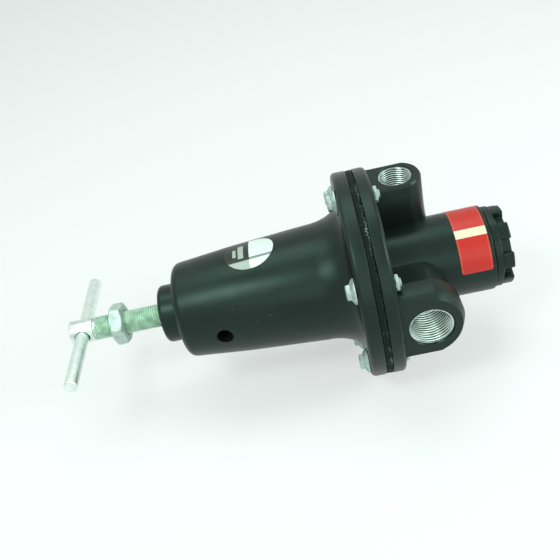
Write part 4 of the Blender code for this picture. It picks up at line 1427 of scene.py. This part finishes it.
@dataclass
class Handle:
    """The adjusting screw with its cross-drilled head, and the T-bar through it."""

    head_face: float = -191.9
    head_end: float = -206.2
    head_radius: float = 7.2
    groove_radius: float = 5.9
    groove_width: float = 1.2
    thread_radius: float = 6.95
    thread_share: float = 0.62
    pitch: float = 1.4111
    tip: float = -131.0
    tip_bevel: float = 1.2
    bar_station: float = -199.05
    bar_radius: float = 3.97
    bar_room: float = 0.28
    bar_ends: Pair = (-50.0, 49.4)
    bar_round: float = 0.7
    steps: int = 96
    bar_steps: int = 64

    def screw_surfaces(self) -> list[Surface]:
        """The head, the groove, the thread and the tip, all closed into one shape."""
        start = self.head_face + self.groove_width
        end = self.tip - self.tip_bevel
        depth = self.thread_share * self.pitch
        root = self.thread_radius - depth
        head = filleted(
            [
                (self.head_end, 0.4, 0.0),
                (self.head_end, self.head_radius, 0.7),
                (self.head_face, self.head_radius, 0.6),
                (self.head_face, self.groove_radius, 0.2),
                (start, self.groove_radius, 0.0),
                (start, root, 0.0),
            ]
        )
        bevel = (self.tip, self.thread_radius - self.tip_bevel)
        tip = [(end, root), (end, root), bevel, (self.tip, 4.0), (self.tip + 2.4, 0.4)]
        seam = around(self.steps, seam=True)
        thread, _ = helix(start, end, self.thread_radius, depth, self.pitch, Axes(), self.steps)
        return [
            Surface(rings(Axes(), seam, head), columns_close=False, start_cap=True),
            Surface(rings(Axes(), seam, tip), columns_close=False, end_cap=True),
            Surface(thread, columns_close=False, finish=1),
        ]

    def build(self, builder: Builder) -> None:
        """Makes the screw, drills its head, and makes the T-bar."""
        axes = port_axes(TEE_ANGLE, station=self.bar_station)
        bore = self.bar_radius + self.bar_room
        half = [(6.2, bore), (6.9, bore + 0.5), (9.0, bore + 2.6)]
        path = [(-station, radius) for station, radius in half[::-1]] + half
        hole = Surface(turned(path, axes, self.bar_steps), start_cap=True, end_cap=True)
        seat = Seat("handle", "zinc_plated_steel", ("adjusting_screw",))
        builder.piece("threaded_adjusting_screw", self.screw_surfaces(), [ZINC, THREAD_ZINC], seat, hole)
        far, near = self.bar_ends
        bar = filleted(
            [
                (far, 0.3, 0.0),
                (far, self.bar_radius, self.bar_round),
                (near, self.bar_radius, self.bar_round),
                (near, 0.3, 0.0),
            ]
        )
        rounded = Surface(turned(bar, axes, self.bar_steps), start_cap=True, end_cap=True)
        builder.piece("drawn_tee_bar", [rounded], [ZINC_BAR], Seat("handle", "zinc_plated_steel", ("tee_bar",)))


@dataclass
class LockNut:
    """The hexagon lock nut on the adjusting screw, chamfered on both faces."""

    left: float = -180.0
    right: float = -172.1
    width: float = 22.2
    roll: float = 39.0
    bore: float = 7.0
    bore_bevel: float = 1.0
    face_radius: float = 10.6
    slope: float = 30.0
    broken_edge: float = 0.25
    edge_angle: float = 40.0
    steps: int = 144

    def build(self, builder: Builder) -> None:
        """Makes the nut: where the cone of each face is cut by the flats, the edge is curved."""
        turn = around(self.steps)
        shape = hexagon(self.width, turn, math.radians(self.roll))
        fall = (shape - self.face_radius) * math.tan(math.radians(self.slope))
        mouth = self.bore + self.bore_bevel
        rows = [
            (self.left + self.bore_bevel, self.bore),
            (self.left, mouth),
            (self.left, self.face_radius),
            (self.left + fall, shape),
            (self.right - fall, shape),
            (self.right, self.face_radius),
            (self.right, mouth),
            (self.right - self.bore_bevel, self.bore),
        ]
        surface = Surface(rings(Axes(), turn, rows), rows_close=True)
        seat = Seat("locking", "zinc_plated_steel", ("lock_nut",))
        thing = builder.piece("chamfered_lock_nut", [surface], [ZINC_NUT], seat)
        bevel = thing.modifiers.new("broken_edges", "BEVEL")
        bevel.width = self.broken_edge * MM
        bevel.segments = 2
        bevel.limit_method = "ANGLE"
        bevel.angle_limit = math.radians(self.edge_angle)


@dataclass
class Label:
    """A film label that follows a turned surface, with its own flat map."""

    name: str
    finish: PrintedFilm
    middle: float
    angle: float
    half_length: float
    half_reach: float
    corner: float
    stations: tuple[float, ...]
    radii: tuple[float, ...]
    lift: float = 0.12
    steps: int = 320
    inner_rings: int = 26

    def build(self, builder: Builder) -> None:
        """Makes the label from rings that shrink from its outline to its middle.

        The outline is a rectangle with round corners, or a circle where the corner is as
        large as its half sides. A point's angle is its reach round the body over the
        body's radius, which is read at its station. The last two rings dive under the
        body's surface.
        """
        long, wide = self.half_length, self.half_reach
        corner = min(self.corner, long, wide)
        pieces = []
        for index, (sx, sy) in enumerate(((1, 1), (-1, 1), (-1, -1), (1, -1))):
            centre = (sx * (long - corner), sy * (wide - corner))
            pieces.append(quarter(centre, (corner, corner), 90.0 * index, 90.0 * index + 90.0, 16))
        outline = evenly(np.concatenate(pieces), self.steps)
        shares = np.concatenate((np.linspace(0.02, 0.98, self.inner_rings), [1.0, 1.0, 0.9]))
        lifts = np.concatenate((np.full(self.inner_rings, self.lift), [0.7 * self.lift, -0.2, -0.3]))
        flat = shares[:, None, None] * outline[None]
        station = self.middle + flat[..., 0]
        radius = np.interp(station, self.stations, self.radii)
        turn = math.radians(self.angle) + flat[..., 1] / radius
        size = radius + lifts[:, None]
        grid = Axes().place(station, size * np.cos(turn), size * np.sin(turn))
        surface = Surface(grid, start_cap=True, end_cap=True, flat_map=flat)
        builder.piece(self.name, [surface], [self.finish], Seat("housing", "black_enamel"))


@dataclass
class Spring:
    """A compression spring whose end turns lie closed."""

    node: str
    joint: str
    radius: float
    wire: float
    start: float
    end: float
    turns: int
    anchor: float
    keep: float
    steps: int = 48
    sides: int = 14

    def build(self, builder: Builder) -> None:
        """Winds the wire and settles it.

        The end turns rise by a wire's width and a bit, and the turns between them share
        the rest of the length. Each row of points is the wire's round section.
        """
        turn = np.linspace(0.0, self.turns, self.turns * self.steps + 1)[:, None]
        closed, length = 2.1 * self.wire, self.end - self.start
        middle = closed + (length - 2.0 * closed) * (turn - 1.0) / (self.turns - 2.0)
        last = length - closed * (self.turns - turn)
        rise = np.where(turn < 1.0, closed * turn, np.where(turn > self.turns - 1.0, last, middle))
        side = around(self.sides)[None]
        size = self.radius + self.wire * np.cos(side)
        angle = math.tau * turn
        station = self.start + rise + self.wire * np.sin(side)
        grid = Axes().place(station, size * np.cos(angle), -size * np.sin(angle))
        surface = Surface(grid, start_cap=True, end_cap=True)
        seat = Seat("housing", "spring_steel", (self.node,))
        thing = builder.piece(f"coiled_{self.node}", [surface], [SPRING_STEEL], seat)
        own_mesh(thing)


BARREL_LABEL = Label("barrel_label", RED_FILM, 33.5, 0.0, 8.7, 35.2, 1.6, (23.0, 44.0), (24.7, 24.7))
BONNET_LABEL = Label(
    "bonnet_label", ROUND_FILM, -89.4, -2.0, 14.5, 13.7, 14.0, (-139.3, -100.4, -55.4), (27.9, 31.6, 34.5)
)
RANGE_SPRING = Spring("range_spring", "screw_travel", 16.6, 2.1, -119.4, -31.6, 7, -29.2, 0.845)
VALVE_SPRING = Spring("valve_spring", "valve_stroke", 6.8, 0.9, 14.5, 31.5, 5, 32.8, 0.865)
INNER_FINISHES: dict[str, Finish] = {
    "diaphragm": RUBBER,
    "plug_o_ring": RUBBER,
    "seat_o_ring": RUBBER,
    "poppet_disc": RUBBER,
    "valve_seat": BRASS,
    "relief_stud": BRASS,
    "valve_poppet": BRASS,
    "spring_rest": SPRING_STEEL,
    "thrust_ball": SPRING_STEEL,
    "valve_pin": SPRING_STEEL,
    "diaphragm_plate": ZINC,
    "diaphragm_nut": ZINC,
}


def finish_inner_parts(nodes: dict[str, bpy.types.Object]) -> None:
    """Gives each piece inside, which keeps its own shape, its finish.

    Args:
        nodes: The frame's objects by name.
    """
    for name, finish in INNER_FINISHES.items():
        materials = nodes[name].data.materials
        for index in range(max(1, len(materials))):
            if len(materials) <= index:
                materials.append(finish.material())
            materials[index] = finish.material()
        LOG.info("%s: keeps its shape, finished as %s", name, finish.name)


@dataclass(frozen=True)
class Lamp:
    """A soft rectangular lamp: its middle and sides in metres, and its power in watts."""

    name: str
    place: Corner
    size: Pair
    power: float

    def build(self, aim: Corner, colour: str) -> None:
        """Adds the lamp, turned towards a point.

        Args:
            aim: The point it faces, in metres.
            colour: Its colour, as hex.
        """
        data = bpy.data.lights.new(self.name, "AREA")
        data.shape = "RECTANGLE"
        data.size, data.size_y = self.size
        data.energy = self.power
        data.color = linear(colour)[:3]
        thing = link_object(self.name, data)
        way = Vector(aim) - Vector(self.place)
        spin = way.to_track_quat("-Z", "Y").to_matrix().to_4x4()
        thing.matrix_world = Matrix.Translation(Vector(self.place)) @ spin


LAMPS = (
    Lamp("overhead_softbox", (-0.12, 0.3, 0.95), (0.9, 0.5), 3.8),
    Lamp("front_softbox", (0.1, -0.9, 0.45), (0.8, 0.5), 1.8),
    Lamp("camera_softbox", (-0.36, -0.38, 0.64), (0.26, 0.19), 2.3),
    Lamp("right_softbox", (0.75, -0.2, 0.4), (0.32, 0.3), 3.6),
)


@dataclass
class Studio:
    """The camera of the photograph, a pale floor and soft lamps."""

    focal_pixels: float = 750.0
    distance: float = 441.2
    seam_station: float = -26.8
    seam_pixel: Pair = (364.6, 272.2)
    rise: float = 11.9
    lean: float = 4.0
    roll: float = 39.0
    floor_middle: float = -70.0
    floor_height: float = -61.2
    floor_half: float = 3000.0
    aim: Corner = (-0.07, 0.0, 0.0)
    lamp_colour: str = "#f4fffb"
    room_light: str = "#d6f2e4"
    room_light_strength: float = 0.5
    room_shown: str = "#f2faf6"
    room_shown_strength: float = 0.86

    def camera(self) -> None:
        """Places the camera from the fitted view of the main axis.

        In the photograph's axes (right, down, away) the main axis is the unit vector a,
        u is the direction towards the camera less its part along a, and v is a times u.
        A direction at an angle p across the axis is cosine p times u plus sine p times v.
        """
        rise, lean = math.radians(self.rise), math.radians(self.lean)
        a = np.array((math.cos(lean) * math.cos(rise), -math.cos(lean) * math.sin(rise), -math.sin(lean)))
        u = np.array((0.0, 0.0, -1.0))
        u = u - a * (u @ a)
        u /= np.linalg.norm(u)
        v = np.cross(a, u)

        def across(angle: float) -> np.ndarray:
            """Gives the direction across the axis at an angle in degrees."""
            turn = math.radians(angle)
            return math.cos(turn) * u + math.sin(turn) * v

        turn = np.column_stack((a, -across(self.roll), across(self.roll - 90.0)))
        middle = 0.5 * PHOTO_PIXELS
        ray = np.array([(pixel - middle) / self.focal_pixels for pixel in self.seam_pixel] + [1.0])
        place = np.array((self.seam_station, 0.0, 0.0)) - turn.T @ (ray * self.distance)
        spin = turn.T @ np.diag((1.0, -1.0, -1.0))
        data = bpy.data.cameras.new("photo_camera")
        data.sensor_width = SENSOR_MM
        data.sensor_fit = "HORIZONTAL"
        data.lens = SENSOR_MM * self.focal_pixels / PHOTO_PIXELS
        data.clip_start = 0.01
        data.clip_end = 20.0
        thing = link_object("photo_camera", data)
        rows = [[*spin[row], place[row] * MM] for row in range(3)]
        thing.matrix_world = Matrix([*rows, [0.0, 0.0, 0.0, 1.0]])
        bpy.context.scene.camera = thing

    def floor(self) -> None:
        """Lays the floor as a wide disc under the regulator."""
        path = [(self.floor_height, 1.0), (self.floor_height, self.floor_half)]
        axes = Axes((self.floor_middle, 0.0, 0.0), (0.0, 0.0, 1.0), X_AXIS, (0.0, 1.0, 0.0))
        disc = Surface(turned(path, axes, 96), start_cap=True)
        thing = link_object("floor", make_mesh("floor", [disc], outwards=False))
        thing.data.materials.append(PaleSweep().material())

    def room(self) -> None:
        """Adds the even light of the room, which the camera and reflections see as pale."""
        world = bpy.data.worlds.new("studio_room")
        world.use_nodes = True
        nodes = Nodes(world.node_tree)
        lit = {"Color": linear(self.room_light), "Strength": self.room_light_strength}
        shown = {"Color": linear(self.room_shown), "Strength": self.room_shown_strength}
        lit, shown = (nodes.add("Background", inputs).outputs[0] for inputs in (lit, shown))
        mixed = nodes.add("MixShader", {0: nodes.seen(), 1: lit, 2: shown})
        nodes.add("OutputWorld", {"Surface": mixed.outputs[0]})
        bpy.context.scene.world = world

    def build(self) -> None:
        """Sets the view and adds the camera, the floor, the lamps and the room."""
        bpy.context.scene.view_settings.view_transform = "Standard"
        self.camera()
        self.floor()
        for lamp in LAMPS:
            lamp.build(self.aim, self.lamp_colour)
        self.room()


def main() -> None:
    """Builds every piece over the frame and reports each one."""
    logging.basicConfig(level=logging.INFO, format="%(name)s: %(message)s")
    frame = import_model()
    builder = Builder()
    Studio().build()
    castings = (Bonnet(), ValveBody(), BottomPlug())
    fittings = (FlangeSeam(), FlangeFasteners(), GaugePlug(), Handle(), LockNut())
    trim = (BARREL_LABEL, BONNET_LABEL, RANGE_SPRING, VALVE_SPRING)
    for part in (*castings, *fittings, *trim):
        part.build(builder)
    finish_inner_parts(frame["nodes"])


if __name__ == "__main__":
    main()
